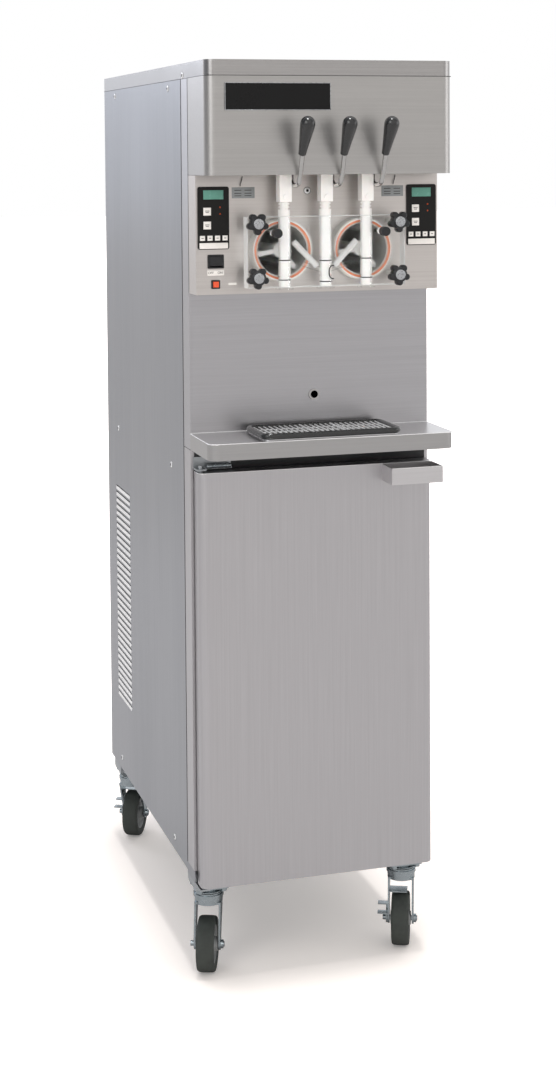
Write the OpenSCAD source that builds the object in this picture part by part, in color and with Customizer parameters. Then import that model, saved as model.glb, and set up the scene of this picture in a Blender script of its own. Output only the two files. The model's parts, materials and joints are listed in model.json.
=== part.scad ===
// Twin-barrel soft-serve freezer on casters, with a refrigerated mix cabinet below.
// Millimetres, +Z up, front towards -Y. Inside the modules, Y = 0 is the face of the splash panel.

/* [Cabinet] */
// Width across the side panels
cab_w = 465; // [450:1:500]
// Depth from the splash panel to the rear panel
cab_d = 757; // [735:1:800]
// Height of the roof above the floor
top_z = 1700; // [1690:1:1740]
// Height of the lower edge of the side panels
skirt_z = 203; // [200:1:210]
// Thickness of the stainless sheet
sheet = 1.5; // [1:0.1:2]
// Height of the roof band
roof_h = 28; // [22:1:36]
// Radius of the rounded vertical corners at the front
corner_r = 19; // [12:1:24]
// Depth of the return behind the splash panel, up to the side panels
return_d = 50; // [44:1:60]
// Gap between panels that lie side by side
seam = 0.6; // [0.3:0.1:1]
// Outside width of the frame posts
post_w = 22; // [18:1:24]

/* [Hood and control panel] */
// How far the hood stands in front of the splash panel
hood_out = 133; // [126:1:145]
// Height of the hood's lower edge above the floor
hood_z = 1496; // [1490:1:1504]
// How far the control panel stands in front of the splash panel
ctrl_out = 54; // [48:1:58]
// Height of the control panel's lower edge above the floor
ctrl_z = 1280; // [1272:1:1284]
// Width of the bare badge plate
badge_w = 196; // [150:1:200]
// Height of the bare badge plate
badge_h = 49; // [35:1:55]
// Width of a key panel
keys_w = 58; // [54:1:62]
// Height of a key panel
keys_h = 113; // [104:1:120]
// Side of a large key
key_s = 13; // [10:1:15]
// Width of the main rocker's housing
rocker_w = 30; // [24:1:32]
// Height of the main rocker's housing
rocker_h = 25; // [20:1:28]
// Side of the square lamp button's housing
lamp_s = 16; // [14:1:18]
// Travel of the lamp button
lamp_travel = 3; // [2:0.5:4]

/* [Freezing barrels] */
// Distance between the barrel centres
barrel_gap = 154; // [150:1:160]
// Height of the barrel centres above the floor
barrel_z = 1359; // [1355:1:1363]
// Inside radius of a barrel
barrel_r = 47; // [44:0.5:48]
// Wall of a barrel's tube
barrel_wall = 3; // [2:0.5:4]
// Radius over the evaporator jacket and its insulation
jacket_r = 66; // [60:1:70]
// Length of a barrel from its front rim
barrel_len = 330; // [300:1:350]
// How far the barrel rims stand in front of the control panel
rim_out = 24; // [22:1:28]
// Thickness of the orange front gaskets
gasket_t = 2; // [1:0.5:3]
// Radius of a dasher's shaft
shaft_r = 9; // [8:0.5:11]
// Running clearance round the shafts and pins that turn
run_fit = 0.06; // [0.02:0.01:0.09]
// Clearance between pieces that slide or lift off
slide_fit = 0.3; // [0.25:0.05:0.5]

/* [Freezer door and spigots] */
// Width of the clear door
door_plate_w = 300; // [296:1:308]
// Height of the clear door
door_plate_h = 128; // [122:1:132]
// Thickness of the clear door
door_plate_t = 25; // [24:0.5:28]
// Distance between neighbouring spigots
spigot_gap = 78; // [76:1:80]
// Radius of a plunger's sealing stretch
plunger_r = 10.8; // [9:0.1:11.5]
// Side of a plunger's square head
head_s = 22.5; // [21:0.5:23]
// Travel of a plunger as its lever is drawn
plunger_travel = 20.5; // [18:0.5:21]
// Radius over the lobes of a star knob
star_r = 20; // [17:0.5:21]
// Radius of a door stud
stud_r = 4; // [3:0.5:5]
// Sideways distance from the door's centre to its studs
stud_x = 134; // [130:1:137]
// Upright distance between the studs
stud_gap = 97; // [92:1:100]
// Sideways distance from the door's centre to an air bleed knob
bleed_x = 102; // [100:1:104]
// Travel of an air bleed knob
bleed_travel = 8; // [5:1:10]

/* [Levers] */
// Radius of the bent lever rods
rod_r = 3.5; // [3:0.1:4]
// Radius of a lever's grip at its rounded top
grip_r = 13.5; // [11:0.5:14]
// Radius of a lever's grip where the rod enters it
grip_neck_r = 7; // [5:0.5:9]
// Length of a lever's grip along the rod
grip_len = 76; // [60:1:82]
// Lean of a lever from upright at rest
lever_lean = 32.7; // [30:0.1:35]
// Turn of a lever from shut to open
lever_turn = 40; // [35:1:42]

/* [Shelf, tray and cabinet door] */
// Height of the shelf's top above the floor
shelf_z = 1021.5; // [1015:0.5:1030]
// Depth of the shelf's folded edge
shelf_h = 30; // [24:1:34]
// How far the shelf stands in front of the splash panel
shelf_out = 139; // [130:1:150]
// Width of the drip grid over its rim
grid_w = 268; // [240:1:290]
// Depth of the drip grid over its rim
grid_d = 124; // [110:1:126]
// Radius of the drip grid's rim
grid_rim_r = 5.5; // [4:0.5:6]
// Height of the cabinet door's lower edge above the floor
door_z0 = 181; // [176:1:192]
// Height of the cabinet door's upper edge above the floor
door_z1 = 953; // [940:1:958]
// Distance from the cabinet door's edges to the cabinet's sides
door_side = 5.5; // [3:0.5:8]
// How far the cabinet door's face stands in front of the splash panel
door_out = 39; // [36:1:44]
// Length of the door's pull
pull_len = 101; // [80:1:120]
// Height of the pull's front lip
pull_h = 31; // [24:1:36]
// How far the pull stands in front of the door
pull_out = 56; // [45:1:60]
// Thickness of the magnetic gasket behind the door
seal_t = 4; // [3:0.5:6]

/* [Inside the cabinet] */
// Inside width of the refrigerated cabinet
box_w = 380; // [360:1:384]
// Inside depth of the refrigerated cabinet
box_d = 330; // [300:1:345]
// Wall of the refrigerated cabinet with its foam
box_wall = 12; // [8:0.5:14]
// Width of a mix container
pan_w = 168; // [150:1:176]
// Depth of a mix container
pan_d = 280; // [250:1:300]
// Height of a mix container
pan_h = 320; // [250:1:360]
// Radius of the condenser fan's blades
fan_r = 88; // [70:1:92]

/* [Casters] */
// Diameter of a caster's wheel
wheel_d = 101.6; // [96:0.1:104]
// Width of a caster's wheel
wheel_w = 34; // [28:1:36]
// Distance from a caster's swivel to its wheel's axle
trail = 22; // [16:1:26]
// Radius of a caster's axle
axle_r = 5; // [4:0.5:6]
// Height of the base channels above the floor
base_z = 160; // [158:1:164]
// Side of a caster's square top plate
plate_s = 62; // [58:1:64]
// Distance between a caster plate's bolt holes
plate_pitch = 46; // [40:1:47]
// Radius of the bolt holes in a caster's top plate
plate_hole_r = 4.5; // [4:0.25:5]
// How far a brake's two tabs stand out from its strap
brake_tab = 18; // [12:1:19]

/* [Hidden] */
$fn = 48;

STAINLESS = "silver";
ZINC = "lightsteelblue";
BLACK = "#202224";
WHITE = "#f4f4f0";
CLEAR = [0.85, 0.93, 0.95, 0.4];

half_w = cab_w / 2;
door_w = cab_w - 2 * door_side;
inner_w = half_w - sheet;
side_top = top_z - roof_h;
rear_in = cab_d - sheet;

// Levers: the straight of the rod clears the hood's lower front edge by rod_gap
rod_gap = 2.4;
pivot_r = 3;
pivot_y = -84;
pivot_z = hood_z + 26;
lean_d = [-sin(lever_lean), cos(lever_lean)];
edge_y = -hood_out - (rod_r + rod_gap) * cos(lever_lean);
edge_z = hood_z - (rod_r + rod_gap) * sin(lever_lean);
grip_start = 47;
grip_top = grip_start + grip_len - grip_r;
bend_end = -8;
arm_len = plunger_travel / (2 * sin(lever_turn / 2));
finger_y = pivot_y + arm_len * cos(lever_turn / 2);
finger_z = pivot_z - arm_len * sin(lever_turn / 2);
finger_r = 3;
spigot_y = -92;
head_gap = 0.5;
back_x = head_s / 2 + head_gap + rod_r;
hub_w = 6;
ear_w = 5;

// The box runs from the levers' grips to the rear wheels, and the origin is under its middle
rear_turn = 20;
tread_round = 6;
rear_caster_y = cab_d - plate_s / 2;
rear_y = rear_caster_y + (trail + wheel_d / 2) * cos(rear_turn) + (wheel_w / 2 - tread_round) * sin(rear_turn);
front_y = edge_y + lean_d[0] * grip_top - grip_r;
mid_y = (rear_y + front_y) / 2;
inlet_out = 14;

// Freezer door
door_cz = barrel_z - 2;
door_z = door_cz - door_plate_h / 2;
door_back = -ctrl_out - rim_out;
door_face = door_back - door_plate_t;
boss_r = plunger_r + 4.2;
head_z = hood_z - 49;
stud_z = barrel_z + 1.5;
bleed_z = barrel_z + 33;
bleed_r = 3.5;
rim_r = barrel_r + barrel_wall + 7.5;
barrel_rear = door_back + gasket_t + barrel_len;
star_t = 18;

// Shelf and tray
tray_cy = -shelf_out / 2 - 4.5;
tray_rim = 1.5;
tray_inset = 18;
tray_depth = 18;
tray_flange = 26;

// Cabinet levels
deck_z = shelf_z - shelf_h - 16.5;
deck_t = 4;
motor_deck_z = 1286;
box_z0 = 245;
box_z1 = door_z1 - 28;
hinge_x = -door_w / 2 + 8;
hinge_y = -20;
pin_r = 4;

// Casters
swivel_x = half_w - plate_s / 2 - 7.5;
front_caster_y = plate_s / 2 + 15;
axle_z = wheel_d / 2;
channel_x = swivel_x + plate_s / 2 + 1;
channel_t = 3;
crown_z0 = 124;
crown_z1 = base_z - 14.3;
race_r = 28.5;
king_r = 6;
leg_in = wheel_w / 2 + 4.5;
leg_t = 3.5;
// Each caster: x, y, turn of its fork and the side of the swivel where its wheel trails
CASTERS = [
    [-swivel_x, front_caster_y, 21.5, -1],
    [swivel_x, front_caster_y, 23, -1],
    [-swivel_x, rear_caster_y, 27.5, 1],
    [swivel_x, rear_caster_y, rear_turn, 1]
];

louvre_y0 = cab_d - 222;
louvre_len = 138;
louvre_z0 = 352;
louvre_pitch = 13.8;
louvre_count = 34;
louvre_h = 4.5;
fan_y = louvre_y0 + louvre_len / 2;
fan_z = 580;
fan_shaft_r = 5;
condenser_x = -half_w + 12;

// Moves a piece from the splash panel's frame to the part's own
module placed() translate([0, -mid_y, 0]) children();

// A block given by its lowest and highest corners
module block(lo, hi) translate(lo) cube(hi - lo);

// A cylinder along Y from y0 to y1
module y_rod(x, z, y0, y1, r) translate([x, y1, z]) rotate([90, 0, 0]) cylinder(h = y1 - y0, r = r);

// A cylinder along X from x0 to x1
module x_rod(y, z, x0, x1, r) translate([x0, y, z]) rotate([0, 90, 0]) cylinder(h = x1 - x0, r = r);

// A plan with its two front corners rounded
module front_plan(hw, y0, y1, r) {
    translate([-hw, y0 + r]) square([2 * hw, y1 - y0 - r]);
    translate([-hw + r, y0]) square([2 * (hw - r), r + 1]);
    for (s = [-1, 1]) translate([s * (hw - r), y0 + r]) circle(r = r);
}

// A prism standing on z0 over that plan
module front_prism(hw, y0, y1, r, z0, z1)
    translate([0, 0, z0]) linear_extrude(z1 - z0) front_plan(hw, y0, y1, r);

// A rounded rectangle, centred
module pad(w, h, r) {
    square([w - 2 * r, h], center = true);
    square([w, h - 2 * r], center = true);
    for (x = [-1, 1], y = [-1, 1]) translate([x * (w / 2 - r), y * (h / 2 - r)]) circle(r = r);
}

// A rounded plate standing in the XZ plane, from y0 to y1
module wall_pad(x, z, w, h, r, y0, y1)
    translate([x, y1, z]) rotate([90, 0, 0]) linear_extrude(y1 - y0) pad(w, h, r);

// A rod through a list of points, mitred at its bends; a loop's last point is its first
rod_sides = 16;
function unit(v) = v / norm(v);
function start_ring(p, d, r) = let (u = unit(cross(d, abs(d[2]) < 0.9 ? [0, 0, 1] : [1, 0, 0])), w = cross(d, u))
    [for (j = [0 : rod_sides - 1]) let (a = 360 * (j + 0.5) / rod_sides) p + r * (u * cos(a) + w * sin(a))];
function rings_after(points, ring, i) = i == len(points) ? [] : let (
    d = unit(points[i] - points[i - 1]),
    n = i < len(points) - 1 ? unit(d + unit(points[i + 1] - points[i])) : d,
    here = [for (q = ring) q + d * ((points[i] - q) * n) / (d * n)]
) concat([here], rings_after(points, here, i + 1));

module bent_rod(points, r, loop = false) {
    first = start_ring(points[0], unit(points[1] - points[0]), r);
    rings = concat([first], rings_after(points, first, 1));
    n = rod_sides;
    count = len(rings) - (loop ? 1 : 0);
    polyhedron(
        points = [for (i = [0 : count - 1]) each rings[i]],
        faces = concat(
            [for (i = [0 : len(rings) - 2], j = [0 : n - 1]) let (k = (i + 1) % count)
                [i * n + j, k * n + j, k * n + (j + 1) % n, i * n + (j + 1) % n]],
            loop ? [] : [[for (j = [0 : n - 1]) j], [for (j = [n - 1 : -1 : 0]) (count - 1) * n + j]]
        )
    );
}

// ---------------------------------------------------------------- frame and skins

module base_frame() color(ZINC) placed() {
    post_x = inner_w - post_w;
    union() {
        // floor pan, and the front and rear channels that take the casters
        block([-inner_w, sheet, skirt_z], [inner_w, rear_in, skirt_z + 3]);
        for (y = [front_caster_y, rear_caster_y]) difference() {
            block([-channel_x, y - plate_s / 2 - channel_t, base_z], [channel_x, y + plate_s / 2, skirt_z]);
            block([-channel_x + channel_t, y - plate_s / 2, base_z + channel_t],
                  [channel_x - channel_t, y + plate_s / 2 - channel_t, skirt_z + 1]);
            for (s = [-1, 1]) caster_bolt_places(s) cylinder(h = 12, r = plate_hole_r, center = true);
        }
        // corner posts
        for (s = [-1, 1], y = [sheet, rear_in - post_w])
            difference() {
                block([s > 0 ? post_x : -inner_w, y, skirt_z], [s > 0 ? inner_w : -post_x, y + post_w, side_top]);
                block([(s > 0 ? post_x : -inner_w) + 2, y + 2, skirt_z + 5],
                      [(s > 0 ? inner_w : -post_x) - 2, y + post_w - 2, side_top - 5]);
            }
        // lower deck, motor deck and top rails
        block([-inner_w, post_w, deck_z], [inner_w, rear_in, deck_z + deck_t]);
        block([-inner_w, barrel_rear - 26, motor_deck_z - deck_t], [inner_w, rear_in, motor_deck_z]);
        for (y = [sheet, rear_in - post_w])
            block([-inner_w, y, side_top - 20], [inner_w, y + post_w, side_top]);
        for (s = [-1, 1])
            block([s > 0 ? post_x : -inner_w, sheet, side_top - 20], [s > 0 ? inner_w : -post_x, rear_in, side_top]);
        // bulkheads that hold the barrels
        difference() {
            union() {
                block([-inner_w, post_w - 3, ctrl_z], [inner_w, post_w + 1, barrel_z + jacket_r + 14]);
                block([-barrel_gap, barrel_rear - 30, deck_z], [barrel_gap, barrel_rear - 26, barrel_z + jacket_r + 8]);
            }
            for (s = [-1, 1])
                y_rod(s * barrel_gap / 2, barrel_z, 0, barrel_rear, jacket_r + 0.05);
        }
    }
    // hinge brackets with their pins, above and below the cabinet door
    for (e = [[door_z1 + 3, 1], [door_z0 - 4, -1]]) {
        z = e[0] - (e[1] > 0 ? 0 : 3);
        difference() {
            block([hinge_x - 9, hinge_y - 9, z], [hinge_x + 62, e[1] > 0 ? 0 : front_caster_y - plate_s / 2 - channel_t + 1, z + 3]);
            block([hinge_x + 9, hinge_y - 10, z - 1], [hinge_x + 63, hinge_y + 9, z + 4]);
        }
        if (e[1] > 0) block([hinge_x - 9, -3, z], [hinge_x + 62, 0, z + 22]);
        translate([hinge_x, hinge_y, e[1] > 0 ? door_z1 - 18 : z])
            cylinder(h = e[1] > 0 ? z + 9 - door_z1 + 18 : door_z0 + 18 - z, r = pin_r);
    }
}

// Children at the four bolt holes of the two casters on one side
module caster_bolt_places(s)
    for (y = [front_caster_y, rear_caster_y], i = [-1, 1], j = [-1, 1])
        translate([s * swivel_x + i * plate_pitch / 2, y + j * plate_pitch / 2, base_z]) children();

module side_panel(s) difference() {
    block([s > 0 ? inner_w : -half_w, return_d + seam, skirt_z], [s > 0 ? half_w : -inner_w, cab_d, side_top]);
    for (i = [0 : louvre_count - 1])
        block([s * half_w - 5, louvre_y0, louvre_z0 + i * louvre_pitch],
              [s * half_w + 5, louvre_y0 + louvre_len, louvre_z0 + i * louvre_pitch + louvre_h]);
}

module left_side_panel() color(STAINLESS) placed() side_panel(-1);
module right_side_panel() color(STAINLESS) placed() side_panel(1);

inlet_x = -120;
inlet_z = 330;
inlet_hole = 14;

module rear_panel() color(STAINLESS) placed() difference() {
    block([-inner_w + seam / 2, rear_in, skirt_z], [inner_w - seam / 2, cab_d, side_top]);
    for (g = [620, 1440], i = [0 : 13])
        block([-110, rear_in - 1, g + i * louvre_pitch], [110, cab_d + 1, g + i * louvre_pitch + louvre_h]);
    y_rod(inlet_x, inlet_z, rear_in - 1, cab_d + 1, inlet_hole);
}

module roof_cover() color(STAINLESS) placed() difference() {
    front_prism(half_w, -hood_out, cab_d, corner_r, side_top, top_z);
    front_prism(inner_w, -hood_out + sheet, rear_in, corner_r - sheet, side_top - 1, top_z - sheet);
}

module hood_front() color(STAINLESS) placed() {
    lip = 10;
    difference() {
        front_prism(half_w, -hood_out, 0, corner_r, hood_z, side_top);
        front_prism(inner_w, -hood_out + sheet, 1, corner_r - sheet, hood_z + sheet, side_top + 1);
        front_prism(half_w - lip, -hood_out + lip, 1, corner_r - lip, hood_z - 1, hood_z + 5);
    }
}

module badge_plate() color(BLACK) placed()
    wall_pad(-half_w + badge_w / 2 + 34, hood_z + 139, badge_w, badge_h, 3, -hood_out - 2, -hood_out);

module splash_panel() color(STAINLESS) placed() difference() {
    block([-half_w, 0, shelf_z - shelf_h], [half_w, return_d, side_top]);
    block([-inner_w, sheet, shelf_z - shelf_h - 1], [inner_w, return_d + 1, side_top + 1]);
    for (s = [-1, 1]) y_rod(s * barrel_gap / 2, barrel_z, -1, sheet + 1, jacket_r + 1);
    y_rod(outlet_x, outlet_z, -1, sheet + 1, outlet_r + 1.8);
}

outlet_x = 6;
outlet_z = 1084;
outlet_r = 7;

module drip_outlet() color("dimgray") placed() difference() {
    union() {
        y_rod(outlet_x, outlet_z, -3, 0, outlet_r + 3.5);
        y_rod(outlet_x, outlet_z, -0.5, 40, outlet_r + 1.5);
    }
    y_rod(outlet_x, outlet_z, -4, 41, outlet_r);
}

module shelf() color(STAINLESS) placed() difference() {
    z0 = shelf_z - shelf_h;
    front_prism(half_w, -shelf_out, 0, corner_r, z0, shelf_z);
    front_prism(inner_w, -shelf_out + sheet, -sheet, corner_r - sheet, z0 - 1, shelf_z - sheet);
    translate([0, tray_cy, z0])
        linear_extrude(shelf_h + 1) pad(grid_w - 2 * tray_inset + 1, grid_d - 2 * tray_inset + 1, 8);
}

module drip_tray() color(STAINLESS) placed() translate([0, tray_cy, shelf_z]) difference() {
    w = grid_w - 2 * tray_inset;
    d = grid_d - 2 * tray_inset;
    union() {
        translate([0, 0, slide_fit]) linear_extrude(tray_rim) pad(w + tray_flange, d + tray_flange, 12);
        translate([0, 0, -tray_depth]) linear_extrude(tray_depth + 1) pad(w, d, 8);
    }
    translate([0, 0, 1.2 - tray_depth]) linear_extrude(tray_depth + 5) pad(w - 2.4, d - 2.4, 7);
}

grid_z = slide_fit + tray_rim + 0.3 + grid_rim_r;
grid_corner = 16;
grid_turns = 3;
wire_r = 1.25;
wire_pitch = 9;

module drip_grid() color(BLACK) placed() translate([0, tray_cy, shelf_z + grid_z]) {
    w = grid_w / 2 - grid_rim_r;
    d = grid_d / 2 - grid_rim_r;
    c = grid_corner;
    ring = [for (q = [[w, -d, -90], [w, d, 0], [-w, d, 90], [-w, -d, 180]], k = [0 : grid_turns])
        [q[0] - sign(q[0]) * c + c * cos(q[2] + 90 * k / grid_turns), q[1] - sign(q[1]) * c + c * sin(q[2] + 90 * k / grid_turns), 0]];
    start = [w, 0, 0];
    last = floor((w - c) / wire_pitch);
    union() {
        bent_rod(concat([start], [for (k = [grid_turns + 1 : len(ring) - 1]) ring[k]], [for (k = [0 : grid_turns]) ring[k]], [start]), grid_rim_r, loop = true);
        for (i = [-last : last])
            y_rod(i * wire_pitch, 0, -d, d, wire_r, $fn = 8);
        for (y = [-d / 2, 0, d / 2])
            x_rod(y, -1.6 * wire_r, -w, w, wire_r, $fn = 8);
    }
}

module cabinet_liner() color(STAINLESS) placed() {
    z1 = shelf_z - shelf_h - seam;
    tub = box_w / 2 + box_wall;
    difference() {
        union() {
            block([-half_w, 0, skirt_z], [half_w, sheet, z1]);
            for (s = [-1, 1])
                block([s > 0 ? inner_w : -half_w, 0, skirt_z], [s > 0 ? half_w : -inner_w, return_d, z1]);
            block([-tub, 0, box_z0 - box_wall], [tub, box_d + box_wall, box_z1 + box_wall]);
        }
        block([-box_w / 2, -1, box_z0], [box_w / 2, box_d, box_z1]);
    }
}

// ---------------------------------------------------------------- control panel

keys_x = half_w - 32.5;
keys_z = 1418.5;
rocker_x = -half_w + 36.5;
rocker_z = 1340;
lamp_x = -half_w + 36;
lamp_z = 1298.7;
housing_lip = 1.5;

module control_panel() color(STAINLESS) placed() difference() {
    block([-half_w, -ctrl_out, ctrl_z], [half_w, 0, hood_z - seam]);
    block([-inner_w, -ctrl_out + sheet, ctrl_z + sheet], [inner_w, 1, hood_z + 1]);
    for (s = [-1, 1]) {
        y_rod(s * barrel_gap / 2, barrel_z, -ctrl_out - 1, -ctrl_out + sheet + 1, rim_r + 0.5);
        for (t = [-1, 1])
            y_rod(s * stud_x, stud_z + t * stud_gap / 2, -ctrl_out - 1, -ctrl_out + sheet + 1, stud_r + 0.6);
    }
    block([rocker_x - rocker_w / 2 + housing_lip, -ctrl_out - 1, rocker_z - rocker_h / 2 + housing_lip],
          [rocker_x + rocker_w / 2 - housing_lip, -ctrl_out + sheet + 1, rocker_z + rocker_h / 2 - housing_lip]);
    block([lamp_x - lamp_s / 2 + housing_lip, -ctrl_out - 1, lamp_z - lamp_s / 2 + housing_lip],
          [lamp_x + lamp_s / 2 - housing_lip, -ctrl_out + sheet + 1, lamp_z + lamp_s / 2 - housing_lip]);
}

// A black membrane key panel with its display window and raised keys
module key_panel(x) {
    face = -ctrl_out - 3;
    difference() {
        wall_pad(x, keys_z, keys_w, keys_h, 4, face, -ctrl_out);
        wall_pad(x, keys_z + 42, 38, 17, 1, face - 1, face + 0.8);
    }
    for (z = [keys_z + 12, keys_z - 13])
        wall_pad(x - 12, z, key_s, key_s, 1.5, face - 0.6, face + 1);
    for (i = [-1.5 : 1 : 1.5])
        wall_pad(x + i * 14, keys_z - 36, 8, 8, 1, face - 0.6, face + 1);
}

module key_panels() color(BLACK) placed() for (s = [-1, 1]) union() key_panel(s * keys_x);

module housing(x, z, w, h) difference() {
    union() {
        wall_pad(x, z, w, h, 1.5, -ctrl_out - 2.5, -ctrl_out);
        block([x - w / 2 + housing_lip, -ctrl_out - 1, z - h / 2 + housing_lip],
              [x + w / 2 - housing_lip, -ctrl_out + 20, z + h / 2 - housing_lip]);
    }
    block([x - w / 2 + 2.6, -ctrl_out - 3, z - h / 2 + 2.2],
          [x + w / 2 - 2.6, -ctrl_out + 14, z + h / 2 - 2.2]);
}

rocker_y = -ctrl_out + 4;

module switch_housings() color(BLACK) placed() {
    difference() {
        housing(rocker_x, rocker_z, rocker_w, rocker_h);
        x_rod(rocker_y, rocker_z, rocker_x - rocker_w / 2 + 1.9, rocker_x + rocker_w / 2 - 1.9, 1.5 + run_fit);
    }
    housing(lamp_x, lamp_z, lamp_s, lamp_s);
}

// The rocker lies tipped by half of its throw
rocker_throw = 14;

module main_rocker() color(BLACK) placed() {
    w = rocker_w - 2 * 2.6 - 2 * slide_fit;
    b = rocker_h / 2 - 4;
    translate([rocker_x, rocker_y, rocker_z]) rotate([-rocker_throw / 2, 0, 0]) union() {
        rotate([90, 0, 90]) translate([0, 0, -w / 2]) linear_extrude(w)
            polygon([[-7.5, 0], [-6.5, b], [4, b], [4, -b], [-6.5, -b]]);
        x_rod(0, 0, -w / 2 - 0.9, w / 2 + 0.9, 1.5);
    }
}

module lamp_button() color("red") placed() {
    b = lamp_s / 2 - 2.6 - slide_fit;
    block([lamp_x - b, -ctrl_out - 4.5, lamp_z - b], [lamp_x + b, -ctrl_out + 13 - lamp_travel, lamp_z + b]);
}

// ---------------------------------------------------------------- barrels, dashers and freezer door

module freezing_barrels() color(STAINLESS) placed() {
    front = door_back + gasket_t;
    difference() {
        union() {
            for (s = [-1, 1]) {
                x = s * barrel_gap / 2;
                y_rod(x, barrel_z, front, -ctrl_out + 6, rim_r);
                y_rod(x, barrel_z, -ctrl_out + 4, barrel_rear, jacket_r);
            }
            block([-stud_x - 10, -ctrl_out + 4, stud_z - stud_gap / 2 - 10],
                  [stud_x + 10, -ctrl_out + 8, stud_z + stud_gap / 2 + 10]);
            for (s = [-1, 1], t = [-1, 1])
                y_rod(s * stud_x, stud_z + t * stud_gap / 2, door_face - 12, -ctrl_out + 5, stud_r);
        }
        for (s = [-1, 1]) {
            x = s * barrel_gap / 2;
            y_rod(x, barrel_z, front - 1, barrel_rear - 10, barrel_r);
            y_rod(x, barrel_z, barrel_rear - 11, barrel_rear + 1, shaft_r + run_fit);
        }
    }
}

module barrel_gaskets() color("darkorange") placed()
    for (s = [-1, 1]) difference() {
        y_rod(s * barrel_gap / 2, barrel_z, door_back, door_back + gasket_t, rim_r - 2.5);
        y_rod(s * barrel_gap / 2, barrel_z, door_back - 1, door_back + gasket_t + 1, barrel_r + 2.5);
    }

module dasher(s) translate([s * barrel_gap / 2, 0, barrel_z]) union() {
    front = door_back + 14;
    back = barrel_rear - 24;
    reach = barrel_r - 2;
    y_rod(0, 0, front, barrel_rear + 22, shaft_r);
    y_rod(0, 0, front - 3, front + 12, shaft_r + 5);
    for (k = [0 : 2]) rotate([0, 120 * k + 20, 0]) {
        block([-4, front, 5], [4, front + 8, reach - 4]);
        block([-4, back - 8, 5], [4, back, reach - 4]);
        block([-4.5, front, reach - 12], [4.5, back, reach - 3]);
        block([-1.5, front + 2, reach - 5], [1.5, back - 2, reach + 1.4]);
    }
}

module left_dasher() color(WHITE) placed() dasher(-1);
module right_dasher() color(WHITE) placed() dasher(1);

module freezer_door() color(CLEAR) placed() difference() {
    union() {
        block([-door_plate_w / 2, door_face, door_z], [door_plate_w / 2, door_back, door_z + door_plate_h]);
        for (i = [-1 : 1]) translate([i * spigot_gap, spigot_y, 0]) {
            translate([0, 0, door_z - 1]) cylinder(h = door_plate_h + 1, r = boss_r);
            translate([0, 0, door_z - 4]) cylinder(h = 5, r = boss_r + 2);
        }
    }
    block([-door_plate_w, door_back, door_z - 10], [door_plate_w, 0, door_z + door_plate_h + 10]);
    for (i = [-1 : 1]) translate([i * spigot_gap, spigot_y, door_z - 5])
        cylinder(h = door_plate_h + 10, r = plunger_r + slide_fit);
    for (s = [-1, 1]) {
        for (t = [-1, 1])
            y_rod(s * stud_x, stud_z + t * stud_gap / 2, door_face - 1, door_back + 1, stud_r + 0.4);
        y_rod(s * bleed_x, bleed_z, door_face - 1, door_back + 1, bleed_r + slide_fit);
        // product ways: straight to the outer spigot, and sloping to the middle one
        y_rod(s * barrel_gap / 2, barrel_z - 37, spigot_y, door_back + 1, 6);
        y_rod(s * (barrel_gap / 2 - 32), barrel_z - 24, door_back - 14, door_back + 1, 5);
        translate([s * (barrel_gap / 2 - 32), door_back - 12, barrel_z - 24])
            rotate([0, -s * 108, 0]) cylinder(h = 38, r = 5);
    }
}

module star_knob(s, t) translate([s * stud_x, door_face - slide_fit, stud_z + t * stud_gap / 2])
    difference() {
        union() {
            y_rod(0, 0, -star_t, 0, star_r - 6.5);
            for (k = [0 : 4]) rotate([0, 72 * k + 36, 0]) translate([0, 0, star_r - 6])
                y_rod(0, 0, -star_t + 0.6, -2, 6);
            y_rod(0, 0, -star_t - 2, -star_t + 1, 9.5);
        }
        y_rod(0, 0, -13, 1, stud_r + run_fit);
    }

module star_knob_upper_left() color(BLACK) placed() star_knob(-1, 1);
module star_knob_upper_right() color(BLACK) placed() star_knob(1, 1);
module star_knob_lower_left() color(BLACK) placed() star_knob(-1, -1);
module star_knob_lower_right() color(BLACK) placed() star_knob(1, -1);

module bleed_knob(s) union() {
    y_rod(s * bleed_x, bleed_z, door_face - 31, door_face - 16, 8.5);
    y_rod(s * bleed_x, bleed_z, door_face - 17, door_back - 1, bleed_r);
}

module left_bleed_knob() color(BLACK) placed() bleed_knob(-1);
module right_bleed_knob() color(BLACK) placed() bleed_knob(1);

// ---------------------------------------------------------------- spigots and levers

seal_z = [door_z + 18, door_z + 51];

module plunger(i) translate([i * spigot_gap, 0, 0]) {
    lug_z = 8;
    difference() {
        union() {
            translate([0, spigot_y, door_z + 1]) difference() {
                cylinder(h = head_z - 15 - door_z, r = plunger_r);
                for (z = seal_z) translate([0, 0, z - door_z - 1]) difference() {
                    cylinder(h = 3, r = plunger_r + 1);
                    cylinder(h = 3, r = plunger_r - 1.5);
                }
            }
            translate([0, spigot_y, head_z - 16]) cylinder(h = 17, r = plunger_r - 3);
            for (z = [head_z - 11, head_z - 5]) translate([0, spigot_y, z]) cylinder(h = 3, r = plunger_r - 1);
            block([-head_s / 2, spigot_y - head_s / 2, head_z], [head_s / 2, spigot_y + head_s / 2, pivot_z + 4]);
            y_rod(0, head_z + 8, spigot_y - head_s / 2 - 2, spigot_y, 5);
            block([-5, spigot_y, finger_z - lug_z], [5, finger_y + 10, finger_z + lug_z]);
        }
        block([-6, finger_y - 1, finger_z - finger_r - 0.4], [6, finger_y + 3, finger_z + finger_r + 0.4]);
        for (y = [-1, 3]) x_rod(finger_y + y, finger_z, -6, 6, finger_r + 0.4);
    }
}

module left_plunger() color(WHITE) placed() plunger(-1);
module centre_plunger() color(WHITE) placed() plunger(0);
module right_plunger() color(WHITE) placed() plunger(1);

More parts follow.
